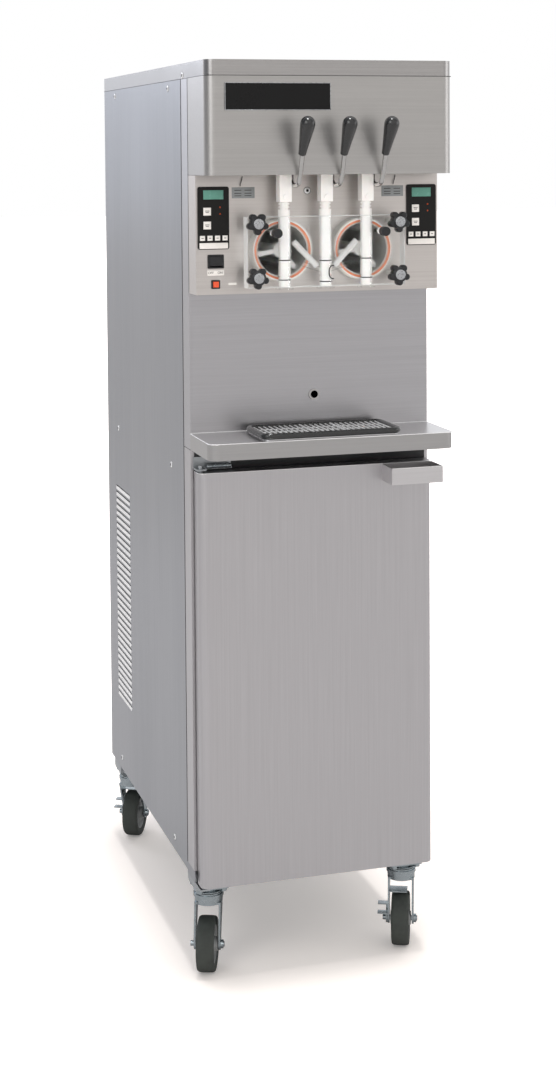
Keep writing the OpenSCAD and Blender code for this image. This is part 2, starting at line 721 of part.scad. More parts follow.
// The rod's bend under the hood's edge is half an oval from the back leg to the straight.
// Above the edge the rod steps back over the spigot by side_step.
bend_turns = 6;
bend_drop = 10;
side_step = 4;
step_start = 10;
bend_z = edge_z + lean_d[1] * bend_end;
bend_front = edge_y + lean_d[0] * bend_end;
function along(s) = [edge_y + lean_d[0] * s, edge_z + lean_d[1] * s];
function lever_points() = concat(
    [[back_x, pivot_y, pivot_z - pivot_r - 2]],
    [for (i = [0 : bend_turns]) let (a = 180 * i / bend_turns)
        [back_x, (pivot_y + bend_front) / 2 + (pivot_y - bend_front) / 2 * cos(a), bend_z - bend_drop * sin(a)]],
    [[back_x, along(step_start)[0], along(step_start)[1]]],
    [[back_x - side_step, along(grip_start + 6)[0], along(grip_start + 6)[1]]]
);

module lever(i) translate([i * spigot_gap, 0, 0]) {
    hub_x = back_x - hub_w / 2;
    difference() {
        union() {
            bent_rod(lever_points(), rod_r);
            x_rod(pivot_y, pivot_z, hub_x, hub_x + hub_w, 7);
            translate([hub_x, pivot_y, pivot_z]) rotate([-lever_turn / 2, 0, 0])
                block([0.4, pivot_r + 2, -4], [hub_w - 0.4, arm_len, 4]);
            x_rod(finger_y, finger_z, hub_x, hub_x + hub_w, 4.5);
            x_rod(finger_y, finger_z, -6, hub_x + 1, finger_r);
            translate([back_x - side_step, edge_y, edge_z]) rotate([lever_lean, 0, 0]) grip();
        }
        x_rod(pivot_y, pivot_z, hub_x - 1, hub_x + hub_w + 1, pivot_r + run_fit);
    }
}

// The grip: a cone that swells to a round top
module grip() {
    flat = asin((grip_r - grip_neck_r) / (grip_len - grip_r));
    rotate_extrude() polygon(concat(
        [[0, grip_start], [grip_neck_r - 1, grip_start], [grip_neck_r, grip_start + 1]],
        [for (k = [0 : 9]) let (a = -flat + (90 + flat) * k / 9)
            [grip_r * cos(a), grip_top + grip_r * sin(a)]]
    ));
}

module left_lever() color(BLACK) placed() lever(-1);
module centre_lever() color(BLACK) placed() lever(0);
module right_lever() color(BLACK) placed() lever(1);

module lever_bracket() color(ZINC) placed() {
    ear_x = back_x + hub_w / 2 + 1.2;
    plate_y = -30;
    union() {
        block([-spigot_gap - 24, plate_y, pivot_z - 12], [spigot_gap + ear_x + ear_w, plate_y + 3, pivot_z + 30]);
        for (x = [-spigot_gap, spigot_gap])
            block([x - 8, plate_y, pivot_z - 12], [x + 8, 0, pivot_z + 30]);
        for (i = [-1 : 1]) translate([i * spigot_gap, 0, 0]) {
            block([ear_x, pivot_y - 8, pivot_z - 8], [ear_x + ear_w, plate_y + 1, pivot_z + 8]);
            x_rod(pivot_y, pivot_z, back_x - hub_w / 2, ear_x + 1, pivot_r);
        }
    }
}

// ---------------------------------------------------------------- cabinet door

module cabinet_door() color(STAINLESS) placed() difference() {
    front_prism(door_w / 2, -door_out, -seal_t, corner_r - 4, door_z0, door_z1);
    front_prism(door_w / 2 - sheet, -door_out + sheet, 0, corner_r - 4 - sheet, door_z0 + 22, door_z1 - 22);
    for (z = [door_z0 - 1, door_z1 - 20])
        translate([hinge_x, hinge_y, z]) cylinder(h = 21, r = pin_r + run_fit);
}

module door_liner() color(WHITE) placed() {
    w = door_w / 2 - sheet - 0.2;
    union() {
        front_prism(w, -door_out + sheet + 0.2, -seal_t, corner_r - 4 - sheet, door_z0 + 22.2, door_z1 - 22.2);
        // the soft gasket, a frame that meets the cabinet's front
        difference() {
            block([hinge_x + 4, -seal_t, box_z0 - 14], [-hinge_x - 4, -slide_fit, box_z1 + 14]);
            block([-box_w / 2 - 4, -seal_t - 1, box_z0 - 4], [box_w / 2 + 4, 1, box_z1 + 4]);
        }
    }
}

module door_handle() color(STAINLESS) placed() {
    x1 = door_w / 2;
    z0 = door_z1 - 1 - pull_h;
    difference() {
        block([x1 - pull_len, -door_out - pull_out, z0], [x1, -door_out, z0 + pull_h]);
        block([x1 - pull_len + sheet, -door_out - pull_out + sheet, z0 + sheet], [x1 - sheet, -door_out - sheet, z0 + pull_h + 1]);
    }
}

// ---------------------------------------------------------------- machinery

gearbox_w = 100;
gearbox_l = 90;
motor_r = 58;
motor_end = cab_d - 228;
motor_cap = 25;

module drive_gearmotors() color("slategray") placed()
    for (s = [-1, 1]) translate([s * barrel_gap / 2, 0, 0]) difference() {
        union() {
            block([-gearbox_w / 2, barrel_rear, motor_deck_z], [gearbox_w / 2, barrel_rear + gearbox_l, barrel_z + gearbox_w / 2 + 5]);
            y_rod(0, barrel_z, barrel_rear + gearbox_l - 10, motor_end - motor_cap, motor_r);
            y_rod(0, barrel_z, motor_end - motor_cap - 5, motor_end, motor_r - 8);
            block([-gearbox_w * 0.4, barrel_rear + gearbox_l + 20, motor_deck_z], [gearbox_w * 0.4, motor_end - motor_cap - 30, barrel_z - motor_r / 2]);
        }
        y_rod(0, barrel_z, barrel_rear - 1, barrel_rear + 26, shaft_r + run_fit);
    }

shell_r = 92;
shell_h = 150;
dome_r = 60;
foot_at = 78;

module compressor() color(BLACK) placed() translate([half_w - 157.5, cab_d - 190, skirt_z + 3]) union() {
    cylinder(h = 24, r = dome_r);
    translate([0, 0, 20]) cylinder(h = shell_h, r = shell_r);
    translate([0, 0, shell_h + 19]) cylinder(h = 22, r1 = shell_r, r2 = dome_r);
    translate([0, 0, shell_h + 40]) cylinder(h = 10, r = dome_r);
    for (x = [-1, 1], y = [-1, 1]) translate([x * foot_at, y * foot_at, 0]) {
        cylinder(h = 16, r = 14);
        translate([0, 0, 12]) rotate([0, 0, atan2(y, x)]) block([-dome_r, -12, 0], [12, 12, 4]);
    }
    translate([shell_r, -30, shell_h * 0.4]) cube([24, 60, 70]);
}

module condenser() color("darkgray") placed() {
    core_y0 = fan_y - fan_r - 22;
    core_y1 = fan_y + fan_r + 22;
    core_z0 = fan_z - fan_r - 150;
    core_z1 = fan_z + fan_r + 150;
    core_t = 42;
    difference() {
        union() {
            block([condenser_x, core_y0, skirt_z + 3], [condenser_x + core_t + 40, core_y0 + 3, core_z1]);
            block([condenser_x, core_y1 - 3, skirt_z + 3], [condenser_x + core_t + 40, core_y1, core_z1]);
            block([condenser_x, core_y0, core_z0], [condenser_x + core_t, core_y1, core_z1]);
            block([condenser_x + core_t + 37, core_y0, core_z0], [condenser_x + core_t + 40, core_y1, core_z1]);
            // motor on two arms
            for (t = [-1, 1])
                block([condenser_x + core_t + 40, fan_y - 6, fan_z + t * 60 - 50], [condenser_x + core_t + 44, fan_y + 6, fan_z + t * 60 + 50]);
            x_rod(fan_y, fan_z, condenser_x + core_t + 40, condenser_x + core_t + 100, 34);
        }
        for (i = [0 : 17])
            block([condenser_x - 1, core_y0 + 8, core_z0 + 8 + i * 27], [condenser_x + core_t - 6, core_y1 - 8, core_z0 + 22 + i * 27]);
        difference() {
            x_rod(fan_y, fan_z, condenser_x + core_t + 36, condenser_x + core_t + 41, fan_r + 4);
            x_rod(fan_y, fan_z, condenser_x + core_t + 40, condenser_x + core_t + 60, 34);
            for (t = [-1, 1])
                block([condenser_x + core_t + 40, fan_y - 6, fan_z + t * 60 - 50], [condenser_x + core_t + 44, fan_y + 6, fan_z + t * 60 + 50]);
        }
    }
    x_rod(fan_y, fan_z, condenser_x + core_t + 14, condenser_x + core_t + 40, fan_shaft_r);
}

module condenser_fan() color("dimgray") placed()
    translate([condenser_x + 42 + 10, fan_y, fan_z]) difference() {
        union() {
            x_rod(0, 0, 0, 20, 17);
            for (k = [0 : 4]) rotate([72 * k, 0, 0]) translate([10, 0, 12]) rotate([0, 0, 32])
                block([-1.2, -17, 0], [1.2, 17, fan_r - 16]);
        }
        x_rod(0, 0, 4 - slide_fit, 21, fan_shaft_r + run_fit);
    }

pump_x = 105;
pump_w = 110;
pump_r = 32;

module mix_pumps() color("gainsboro") placed()
    for (s = [-1, 1]) translate([s * pump_x, 0, deck_z + deck_t]) union() {
        block([-pump_w / 2, 60, 0], [pump_w / 2, 130, pump_w]);
        y_rod(0, 60, 40, 62, pump_r + 8);
        y_rod(0, 55, 128, barrel_rear - 36, pump_r);
        block([-pump_r + 2, 140, 0], [pump_r - 2, barrel_rear - 40, pump_r + 8]);
    }

box_half = 140;
box_high = 190;

module control_box() color("lightgray") placed() difference() {
    rear = rear_in - post_w;
    block([-box_half, rear - box_half, motor_deck_z], [box_half, rear, motor_deck_z + box_high]);
    for (i = [-2 : 2]) y_rod(i * 45, motor_deck_z + box_high - 40, rear - box_half - 1, rear - box_half + 10, 8);
}

module power_inlet() color(BLACK) placed() difference() {
    union() {
        y_rod(inlet_x, inlet_z, cab_d, cab_d + 6, inlet_hole + 6);
        y_rod(inlet_x, inlet_z, cab_d - 12, cab_d + inlet_out, inlet_hole - 0.5);
    }
    y_rod(inlet_x, inlet_z, cab_d - 13, cab_d + inlet_out + 1, inlet_hole - 5);
}

// Panel screws: each side panel's six, the roof's and the hood's
screw_r = 4;
screw_t = 1.2;

module panel_screws() color(STAINLESS) placed() {
    for (s = [-1, 1], p = [
        [152, side_top - 14], [cab_d - 114, side_top - 14], [152, 940], [cab_d - 114, 940],
        [152, skirt_z + 10], [cab_d - 114, skirt_z + 10], [36, side_top + 6]
    ]) x_rod(p[0], p[1], s > 0 ? half_w : -half_w - screw_t, s > 0 ? half_w + screw_t : -half_w, screw_r);
    for (s = [-1, 1], z = [skirt_z + 20, 940, side_top - 20])
        y_rod(s * (inner_w - 12), z, cab_d, cab_d + screw_t, screw_r);
    y_rod(-22, 1466, -ctrl_out - screw_t, -ctrl_out, screw_r);
}

// An open mix container, carried on the floor of the refrigerated cabinet
module mix_container(s) translate([s * (pan_w / 2 + 5), box_d - pan_d / 2 - 12, box_z0 + slide_fit]) difference() {
    union() {
        linear_extrude(pan_h) pad(pan_w, pan_d, 24);
        translate([0, 0, pan_h - 6]) linear_extrude(6) pad(pan_w + 6, pan_d + 6, 26);
    }
    translate([0, 0, 3]) linear_extrude(pan_h) pad(pan_w - 6, pan_d - 6, 21);
}

module left_mix_container() color(STAINLESS) placed() mix_container(-1);
module right_mix_container() color(STAINLESS) placed() mix_container(1);

// ---------------------------------------------------------------- casters

module caster_plates() color(ZINC) placed() {
    for (c = CASTERS) translate([c[0], c[1], 0]) difference() {
        union() {
            translate([-plate_s / 2, -plate_s / 2, base_z - 4]) cube([plate_s, plate_s, 4]);
            translate([0, 0, crown_z1 + slide_fit]) cylinder(h = base_z - 3 - crown_z1 - slide_fit, r = 22);
            translate([0, 0, crown_z0 - 2]) cylinder(h = crown_z1 - crown_z0 + 6, r = king_r);
        }
        for (i = [-1, 1], j = [-1, 1])
            translate([i * plate_pitch / 2, j * plate_pitch / 2, base_z - 5]) cylinder(h = 6, r = plate_hole_r);
    }
    for (s = [-1, 1]) caster_bolt_places(s) {
        translate([0, 0, -9.5]) cylinder(h = 5.5, r = 7, $fn = 6);
        translate([0, 0, -5]) cylinder(h = 12, r = plate_hole_r - 0.5);
    }
}

// Moves a fork or wheel to its caster's swivel; the wheel trails along the local Y
module at_caster(n) translate([CASTERS[n][0], CASTERS[n][1], 0])
    rotate([0, 0, -CASTERS[n][2]]) children();

module fork(n, braked) at_caster(n) {
    wy = CASTERS[n][3] * trail;
    difference() {
        union() {
            translate([0, 0, crown_z0]) cylinder(h = crown_z1 - crown_z0, r = race_r - 2);
            translate([0, 0, crown_z1 - 9]) cylinder(h = 6, r = race_r);
            for (s = [-1, 1]) {
                translate([s > 0 ? leg_in : -leg_in - leg_t, 0, 0]) rotate([90, 0, 90]) linear_extrude(leg_t) {
                    polygon([[-19, crown_z0 + 4], [19, crown_z0 + 4], [wy + 11, axle_z + 12], [wy + 11, axle_z], [wy - 11, axle_z], [wy - 11, axle_z + 12]]);
                    translate([wy, axle_z]) circle(r = 11);
                }
                block([s > 0 ? race_r - 12 : -leg_in - leg_t, -19, crown_z0], [s > 0 ? leg_in + leg_t : -race_r + 12, 19, crown_z0 + 4]);
            }
            x_rod(wy, axle_z, -leg_in - leg_t - (braked ? 10 : 7), leg_in + leg_t + 7, axle_r);
            x_rod(wy, axle_z, leg_in + leg_t, leg_in + leg_t + 5, 8);
            if (braked)
                block([-leg_in - 1, wy - 14, axle_z + wheel_d / 2 + 4], [wheel_w / 2 - 4, wy + 14, axle_z + wheel_d / 2 + 6]);
        }
        translate([0, 0, crown_z0 - 3]) cylinder(h = crown_z1 - crown_z0 + 6, r = king_r + run_fit);
    }
}

module caster_fork_fl() color(ZINC) placed() fork(0, false);
module caster_fork_fr() color(ZINC) placed() fork(1, true);
module caster_fork_rl() color(ZINC) placed() fork(2, true);
module caster_fork_rr() color(ZINC) placed() fork(3, false);

module wheel(n) at_caster(n) translate([0, CASTERS[n][3] * trail, axle_z]) rotate([0, 90, 0]) {
    r = wheel_d / 2;
    h = wheel_w / 2;
    rotate_extrude($fn = 64) polygon([
        [axle_r + run_fit, -h - 3], [15, -h - 3], [17, -h + 5], [r - 17, -h + 5], [r - 14, -h + 1], [r - 6, -h],
        [r - 2, -h + 2], [r, -h + tread_round], [r, h - tread_round], [r - 2, h - 2],
        [r - 6, h], [r - 14, h - 1], [r - 17, h - 5], [17, h - 5], [15, h + 3], [axle_r + run_fit, h + 3]
    ]);
}

module caster_wheel_fl() color(BLACK) placed() wheel(0);
module caster_wheel_fr() color(BLACK) placed() wheel(1);
module caster_wheel_rl() color(BLACK) placed() wheel(2);
module caster_wheel_rr() color(BLACK) placed() wheel(3);

// A side brake: a ring on the axle's end with one tab to lock and one to free
module brake_pedal(n) at_caster(n) translate([0, CASTERS[n][3] * trail, axle_z]) {
    x1 = -leg_in - leg_t - 0.6;
    x0 = x1 - 3;
    difference() {
        union() {
            x_rod(0, 0, x0, x1, 10);
            block([x0, 4, 0], [x1, 12, 26]);
            block([x0, -12, 0], [x1, -2, 14]);
            block([x1 - 1 - brake_tab, 0, 24], [x1, 14, 26.5]);
            block([x1 - 1 - brake_tab, -16, 12], [x1, -2, 14.5]);
        }
        x_rod(0, 0, x0 - 1, x1 + 1, axle_r + run_fit);
    }
}

module brake_pedal_fr() color(ZINC) placed() brake_pedal(1);
module brake_pedal_rl() color(ZINC) placed() brake_pedal(2);

base_frame();
left_side_panel();
right_side_panel();
rear_panel();
roof_cover();
hood_front();
badge_plate();
control_panel();
key_panels();
switch_housings();
splash_panel();
drip_outlet();
shelf();
cabinet_liner();
freezer_door();
barrel_gaskets();
freezing_barrels();
drive_gearmotors();
compressor();
condenser();
mix_pumps();
control_box();
power_inlet();
caster_plates();
panel_screws();
lever_bracket();
cabinet_door();
door_liner();
door_handle();
left_lever();
centre_lever();
right_lever();
left_plunger();
centre_plunger();
right_plunger();
main_rocker();
lamp_button();
star_knob_upper_left();
star_knob_upper_right();
star_knob_lower_left();
star_knob_lower_right();
left_bleed_knob();
right_bleed_knob();
left_dasher();
right_dasher();
condenser_fan();
drip_tray();
drip_grid();
left_mix_container();
right_mix_container();
caster_fork_fl();
caster_fork_fr();
caster_fork_rl();
caster_fork_rr();
caster_wheel_fl();
caster_wheel_fr();
caster_wheel_rl();
caster_wheel_rr();
brake_pedal_fr();
brake_pedal_rl();
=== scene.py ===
# %% [markdown]
# # A soft-serve ice cream maker on casters
#
# The machine's solids come from its CAD model. Here each one gets the finish of its real
# material, and the pieces that the solids keep plain, such as tyres, levers, keys and
# O-rings, are modelled in full. Everything is in metres, in the CAD model's own frame.

# %% Load the frame
import json
import math

import bmesh
import bpy
from mathutils import Matrix, Vector


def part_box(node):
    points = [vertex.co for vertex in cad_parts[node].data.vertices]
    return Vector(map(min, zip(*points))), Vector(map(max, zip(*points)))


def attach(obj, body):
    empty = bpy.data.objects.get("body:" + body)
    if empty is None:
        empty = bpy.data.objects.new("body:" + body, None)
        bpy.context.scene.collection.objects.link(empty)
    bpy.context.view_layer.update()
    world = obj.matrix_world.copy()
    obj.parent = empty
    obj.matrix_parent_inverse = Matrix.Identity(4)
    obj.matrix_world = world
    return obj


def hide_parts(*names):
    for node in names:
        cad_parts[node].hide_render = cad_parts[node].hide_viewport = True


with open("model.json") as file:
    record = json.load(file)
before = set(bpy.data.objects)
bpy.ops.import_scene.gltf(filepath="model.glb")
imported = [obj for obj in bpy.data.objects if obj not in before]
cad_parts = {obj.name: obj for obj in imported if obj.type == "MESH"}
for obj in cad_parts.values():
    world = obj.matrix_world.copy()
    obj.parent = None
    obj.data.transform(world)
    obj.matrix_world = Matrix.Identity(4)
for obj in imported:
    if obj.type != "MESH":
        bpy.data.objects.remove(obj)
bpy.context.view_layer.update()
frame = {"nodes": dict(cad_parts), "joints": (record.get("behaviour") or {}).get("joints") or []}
nodes = frame["nodes"]

# %% [markdown]
# Heights and widths below are in millimetres. Depths are counted from the face of the
# splash panel, negative towards the front, so one function turns such a point into the
# model's metres.

# %% Points in millimetres
SPLASH_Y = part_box("splash_panel")[0].y


def at(x, y, z):
    return Vector((x / 1000, SPLASH_Y + y / 1000, z / 1000))


print("splash panel at", round(SPLASH_Y, 4))

# %% [markdown]
# ## Camera
# The camera stands to the left of the machine, a little above its shoulder. A view camera
# with a falling front keeps the upright edges parallel, which is what a vertical shift does.

# %% Camera
LONG_SIDE_PX = 1066
focal_px = 1835.9
fall_px = 285
yaw, pitch, roll = 0.29265, 0.05257, -0.00675
camera_data = bpy.data.cameras.new("view_camera")
camera_data.sensor_width = 36
camera_data.lens = focal_px / LONG_SIDE_PX * 36
camera_data.shift_y = -fall_px / LONG_SIDE_PX
camera = bpy.data.objects.new("view_camera", camera_data)
bpy.context.scene.collection.objects.link(camera)
turn = (Matrix.Rotation(-yaw, 4, "Z") @ Matrix.Rotation(math.pi / 2 - pitch, 4, "X")
        @ Matrix.Rotation(roll, 4, "Z"))
camera.location = at(-1041.8, -3251.6, 1537.7)
camera.rotation_euler = turn.to_euler()
bpy.context.scene.camera = camera
print("lens", round(camera_data.lens, 2), "mm")

# %% [markdown]
# ## Light and floor
# A plain studio: pale walls with a few brighter and darker sheets between them, so that bent
# steel shows its shape. A large soft lamp stands at the front left and a weaker one at the
# right. A cool one behind lights the left side, and a lamp overhead gives the shadow under
# the machine. The floor is white paper, and steel mirrors a greyer tone of it.

# %% Functions that add nodes


def add(tree, kind, inputs=None, **settings):
    made = tree.nodes.new(kind)
    for name, value in settings.items():
        setattr(made, name, value)
    for name, value in (inputs or {}).items():
        if isinstance(value, bpy.types.NodeSocket):
            tree.links.new(value, made.inputs[name])
        else:
            made.inputs[name].default_value = value
    return made


def linear(hex_colour):
    """An sRGB hex colour as the linear values that shaders use."""
    parts = [int(hex_colour[i:i + 2], 16) / 255 for i in (1, 3, 5)]
    return [c / 12.92 if c <= 0.04045 else ((c + 0.055) / 1.055) ** 2.4 for c in parts] + [1.0]


def two_tones(tree, amount, colour, colour_b):
    """A colour between two, by an amount from 0 to 1."""
    tint = add(tree, "ShaderNodeMix", {0: amount}, data_type="RGBA")
    # the colour sockets of a Mix node come after its number and vector sockets
    tint.inputs[6].default_value, tint.inputs[7].default_value = linear(colour), linear(colour_b)
    return tint.outputs[2]


def spread_over(tree, value, before, after):
    """A value moved from one range, (low, high), to another."""
    ends = {"Value": value, "From Min": before[0], "From Max": before[1], "To Min": after[0], "To Max": after[1]}
    return add(tree, "ShaderNodeMapRange", ends).outputs["Result"]


print("node functions ready")

# %% World
world = bpy.data.worlds.new("studio")
bpy.context.scene.world = world
world.use_nodes = True
tree = world.node_tree
tree.nodes.clear()
direction = add(tree, "ShaderNodeTexCoord")
around = add(tree, "ShaderNodeTexGradient", {"Vector": direction.outputs["Generated"]}, gradient_type="RADIAL")
# once round the room from its left wall: dark, a bright sheet front left, the front, dark,
# the right wall, white paper behind
shade = add(tree, "ShaderNodeValToRGB", {"Fac": around.outputs["Fac"]})
walls = [
    (0.0, "#85878a"), (0.035, "#7f8184"), (0.10, "#ffffff"), (0.16, "#c6c4c2"), (0.23, "#eeecea"),
    (0.33, "#e6e4e2"), (0.43, "#a4a3a3"), (0.52, "#e9e9ea"), (0.64, "#ffffff"), (0.74, "#f8faff"),
    (0.80, "#f4f7ff"), (0.85, "#ffffff"), (0.90, "#a8aab0"), (1.0, "#85878a"),
]
shade.color_ramp.elements[0].color = linear(walls[0][1])
shade.color_ramp.elements[1].color = linear(walls[-1][1])
for place, colour in walls[1:-1]:
    shade.color_ramp.elements.new(place).color = linear(colour)
soft = add(tree, "ShaderNodeBackground", {"Color": shade.outputs["Color"], "Strength": 1.0})
white = add(tree, "ShaderNodeBackground", {"Color": (1, 1, 1, 1), "Strength": 1.0})


def shown_white(tree):
    """1 for the rays that should meet a white studio: those of the camera and those seen
    through glass. The light path comes with it."""
    rays = add(tree, "ShaderNodeLightPath")
    seen = add(tree, "ShaderNodeMath", {0: rays.outputs["Is Camera Ray"], 1: rays.outputs["Is Transmission Ray"]},
               operation="MAXIMUM")
    return seen.outputs[0], rays


seen, rays = shown_white(tree)
both = add(tree, "ShaderNodeMixShader", {0: seen, 1: soft.outputs[0], 2: white.outputs[0]})
add(tree, "ShaderNodeOutputWorld", {"Surface": both.outputs[0]})


def hang(name, data, place):
    made = bpy.data.objects.new(name, data)
    bpy.context.scene.collection.objects.link(made)
    made.location = place
    return made


def softbox(name, place, target, size, watts, colour="#ffffff"):
    """A square lamp that looks from its place at a target, both in metres."""
    data = bpy.data.lights.new(name, "AREA")
    data.size, data.energy, data.color = size, watts, linear(colour)[:3]
    made = hang(name, data, place)
    made.rotation_euler = (Vector(target) - Vector(place)).to_track_quat("-Z", "Y").to_euler()


softbox("key_softbox", (-3.0, -3.4, 3.2), (0, 0, 0.9), 2.6, 42)
softbox("right_softbox", (3.4, -1.6, 1.9), (0, 0, 1.0), 2.0, 14)
softbox("side_softbox", (-1.7, 3.4, 2.7), (-0.2, 0, 1.6), 1.5, 20, "#eef2ff")
# the lamp overhead is far off: its light falls straight down, tipped a little to the back
overhead = bpy.data.lights.new("overhead", "SUN")
overhead.energy, overhead.angle = 1.55, math.radians(8.5)
hang("overhead", overhead, (0, 0, 0)).rotation_euler = (math.radians(4.3), math.radians(0.4), 0)
bpy.context.scene.view_settings.view_transform = "Standard"
print("world and lamps ready")

# %% Floor
FLOOR_HALF_M = 40
bm = bmesh.new()
bmesh.ops.create_grid(bm, x_segments=1, y_segments=1, size=FLOOR_HALF_M)
floor_mesh = bpy.data.meshes.new("floor")
bm.to_mesh(floor_mesh)
bm.free()
floor = bpy.data.objects.new("floor", floor_mesh)
bpy.context.scene.collection.objects.link(floor)
paper = bpy.data.materials.new("white_paper_floor")
paper.use_nodes = True
tree = paper.node_tree
tree.nodes.clear()
seen, rays = shown_white(tree)
# steel mirrors a greyer paper than the one that is seen
paper_tone = two_tones(tree, rays.outputs["Is Glossy Ray"], "#fff7f1", "#c3c1c0")
matt = add(tree, "ShaderNodeBsdfDiffuse", {"Color": paper_tone})
# for the eye and through glass the paper glows a little, and more with distance, so it ends
# in the white surround without an edge
spot = add(tree, "ShaderNodeTexCoord")
away = add(tree, "ShaderNodeVectorMath", {0: spot.outputs["Object"]}, operation="LENGTH")
haze = spread_over(tree, away.outputs["Value"], (0.62, 1.7), (0.17, 1.0))
amount = add(tree, "ShaderNodeMath", {0: seen, 1: haze}, operation="MULTIPLY")
glow = add(tree, "ShaderNodeEmission", {"Color": (1, 1, 1, 1), "Strength": amount.outputs[0]})
lit = add(tree, "ShaderNodeAddShader", {0: matt.outputs[0], 1: glow.outputs[0]})
add(tree, "ShaderNodeOutputMaterial", {"Surface": lit.outputs[0]})
floor_mesh.materials.append(paper)
print("floor ready")

# %% [markdown]
# ## Finishes
# Each finish starts from a real material. The pattern sizes are real millimetres, or as
# coarse as they need to be to show. A brushed sheet has hairlines about 0.2 mm wide; they
# are drawn 3 mm wide, because finer ones would vanish.

# %% Materials with a pattern
# noise gathers round its middle, so this part of it is spread over the whole range
NOISE = (0.3, 0.7)


def finish(name, colour, rough, metallic=0.0, other=None):
    """A material with a Principled shader, and the coordinates that its patterns read."""
    made = bpy.data.materials.new(name)
    made.use_nodes = True
    tree = made.node_tree
    tree.nodes.clear()
    place = add(tree, "ShaderNodeTexCoord").outputs["Object"]
    inputs = {"Base Color": linear(colour), "Roughness": rough, "Metallic": metallic, **(other or {})}
    shader = add(tree, "ShaderNodeBsdfPrincipled", inputs)
    add(tree, "ShaderNodeOutputMaterial", {"Surface": shader.outputs[0]})
    return made, tree, place, shader


def noise(tree, place, size_mm, detail, stretch=None, **inputs):
    """Noise with grains size_mm across before they are stretched."""
    if stretch:
        place = add(tree, "ShaderNodeMapping", {"Vector": place, "Scale": stretch}).outputs[0]
    inputs.update({"Vector": place, "Scale": 1000 / size_mm, "Detail": detail})
    return add(tree, "ShaderNodeTexNoise", inputs).outputs["Fac"]


def vary(tree, place, shader, colours, roughs, size_mm):
    """Cloudy change of colour and roughness, one cloud about size_mm across."""
    cloud = noise(tree, place, size_mm, 4.0, Roughness=0.6)
    tree.links.new(two_tones(tree, cloud, *colours), shader.inputs["Base Color"])
    tree.links.new(spread_over(tree, cloud, NOISE, roughs), shader.inputs["Roughness"])


def bumps(tree, place, shader, size_mm, depth_mm, stretch=None):
    """A bump pattern of noise."""
    grain = noise(tree, place, size_mm, 3.0, stretch, Roughness=0.55)
    raised = add(tree, "ShaderNodeBump", {"Height": grain, "Distance": depth_mm / 1000})
    tree.links.new(raised.outputs["Normal"], shader.inputs["Normal"])


def coated(name, colours, roughs, cloud_mm, grain=None, metallic=0.0, other=None):
    """A material whose colour and roughness vary in clouds cloud_mm across. grain is the
    bumps' size and depth in mm, and their stretch where they have one."""
    made, tree, place, shader = finish(name, colours[0], roughs[0], metallic, other)
    vary(tree, place, shader, colours, roughs, cloud_mm)
    if grain:
        bumps(tree, place, shader, *grain)
    return made


# a hairline's width, how much less it varies along its run, and its depth in metres
HAIR_MM, HAIR_STRETCH, HAIR_DEPTH = 3.2, 0.01, 0.00004
# slow change of sheen, and the sheet's own waves with their depth in metres
CLOUD_MM, WAVE_MM, WAVE_DEPTH = 260, 420, 0.0016


def brushed(name, colours, grain, roughs, painted_lit_top=None):
    """Stainless sheet brushed along one direction: grain is the stretch of its clouds, and
    its hairlines are longer still. above is (height in mm, colours) for a sheet whose top,
    over that height, is painted in the brighter colours: a painted highlight."""
    made, tree, place, shader = finish(name, colours[0], roughs[0], metallic=1.0)
    along_hairs = tuple(1 if g == 1 else HAIR_STRETCH for g in grain)
    hair = noise(tree, place, HAIR_MM, 5.0, along_hairs, Roughness=0.75)
    streak = spread_over(tree, hair, NOISE, (0, 1))
    tint = two_tones(tree, streak, *colours)
    # over the given height the brighter colours are used: a painted highlight on the sheet's top
    if painted_lit_top:
        height = add(tree, "ShaderNodeSeparateXYZ", {"Vector": place}).outputs["Z"]
        painted_lit_mask = add(tree, "ShaderNodeMath", {0: height, 1: painted_lit_top[0] / 1000}, operation="GREATER_THAN").outputs[0]
        both = {0: painted_lit_mask, 6: tint, 7: two_tones(tree, streak, *painted_lit_top[1])}
        tint = add(tree, "ShaderNodeMix", both, data_type="RGBA").outputs[2]
    tree.links.new(tint, shader.inputs["Base Color"])
    cloud = noise(tree, place, CLOUD_MM, 4.0, grain, Roughness=0.6)
    tree.links.new(spread_over(tree, cloud, NOISE, roughs), shader.inputs["Roughness"])
    waves = {"Height": noise(tree, place, WAVE_MM, 2.0), "Distance": WAVE_DEPTH, "Strength": 0.25}
    wave = add(tree, "ShaderNodeBump", waves).outputs["Normal"]
    raised = add(tree, "ShaderNodeBump", {"Height": hair, "Distance": HAIR_DEPTH, "Strength": 0.5, "Normal": wave})
    tree.links.new(raised.outputs["Normal"], shader.inputs["Normal"])
    return made


# %% Sheet steels
# 304 stainless with a No. 4 brush: hairlines upright on the sides and the door, level on the front.
# The same stainless gets a different colour on each part, as painted light and shade: darker
# and bluer on the sides, brighter on the control panel, the door pull and the shelf's top.
UPRIGHT, LEVEL = (1, 1, 0.15), (0.15, 1, 1)
SHELF_TOP_MM = 1020.8
side_steel = brushed("brushed_stainless_sides", ("#9c9ea3", "#a7a9ae"), UPRIGHT, (0.28, 0.36))
door_steel = brushed("brushed_stainless_door", ("#c1bfc1", "#cac8ca"), UPRIGHT, (0.30, 0.38))
front_steel = brushed("brushed_stainless_front", ("#b7b5b3", "#c0bebc"), LEVEL, (0.30, 0.36))
roof_steel = brushed("polished_stainless_roof_cap", ("#adabaa", "#b8b6b5"), LEVEL, (0.18, 0.24))
# the control panel's copy is the brightest: painted light where the hood shades it
control_steel = brushed("brushed_stainless_control_panel", ("#d3cdc9", "#ddd8d4"), LEVEL, (0.34, 0.40))
splash_steel = brushed("brushed_stainless_splash_panel", ("#b9b8bb", "#c2c1c4"), LEVEL, (0.28, 0.34))
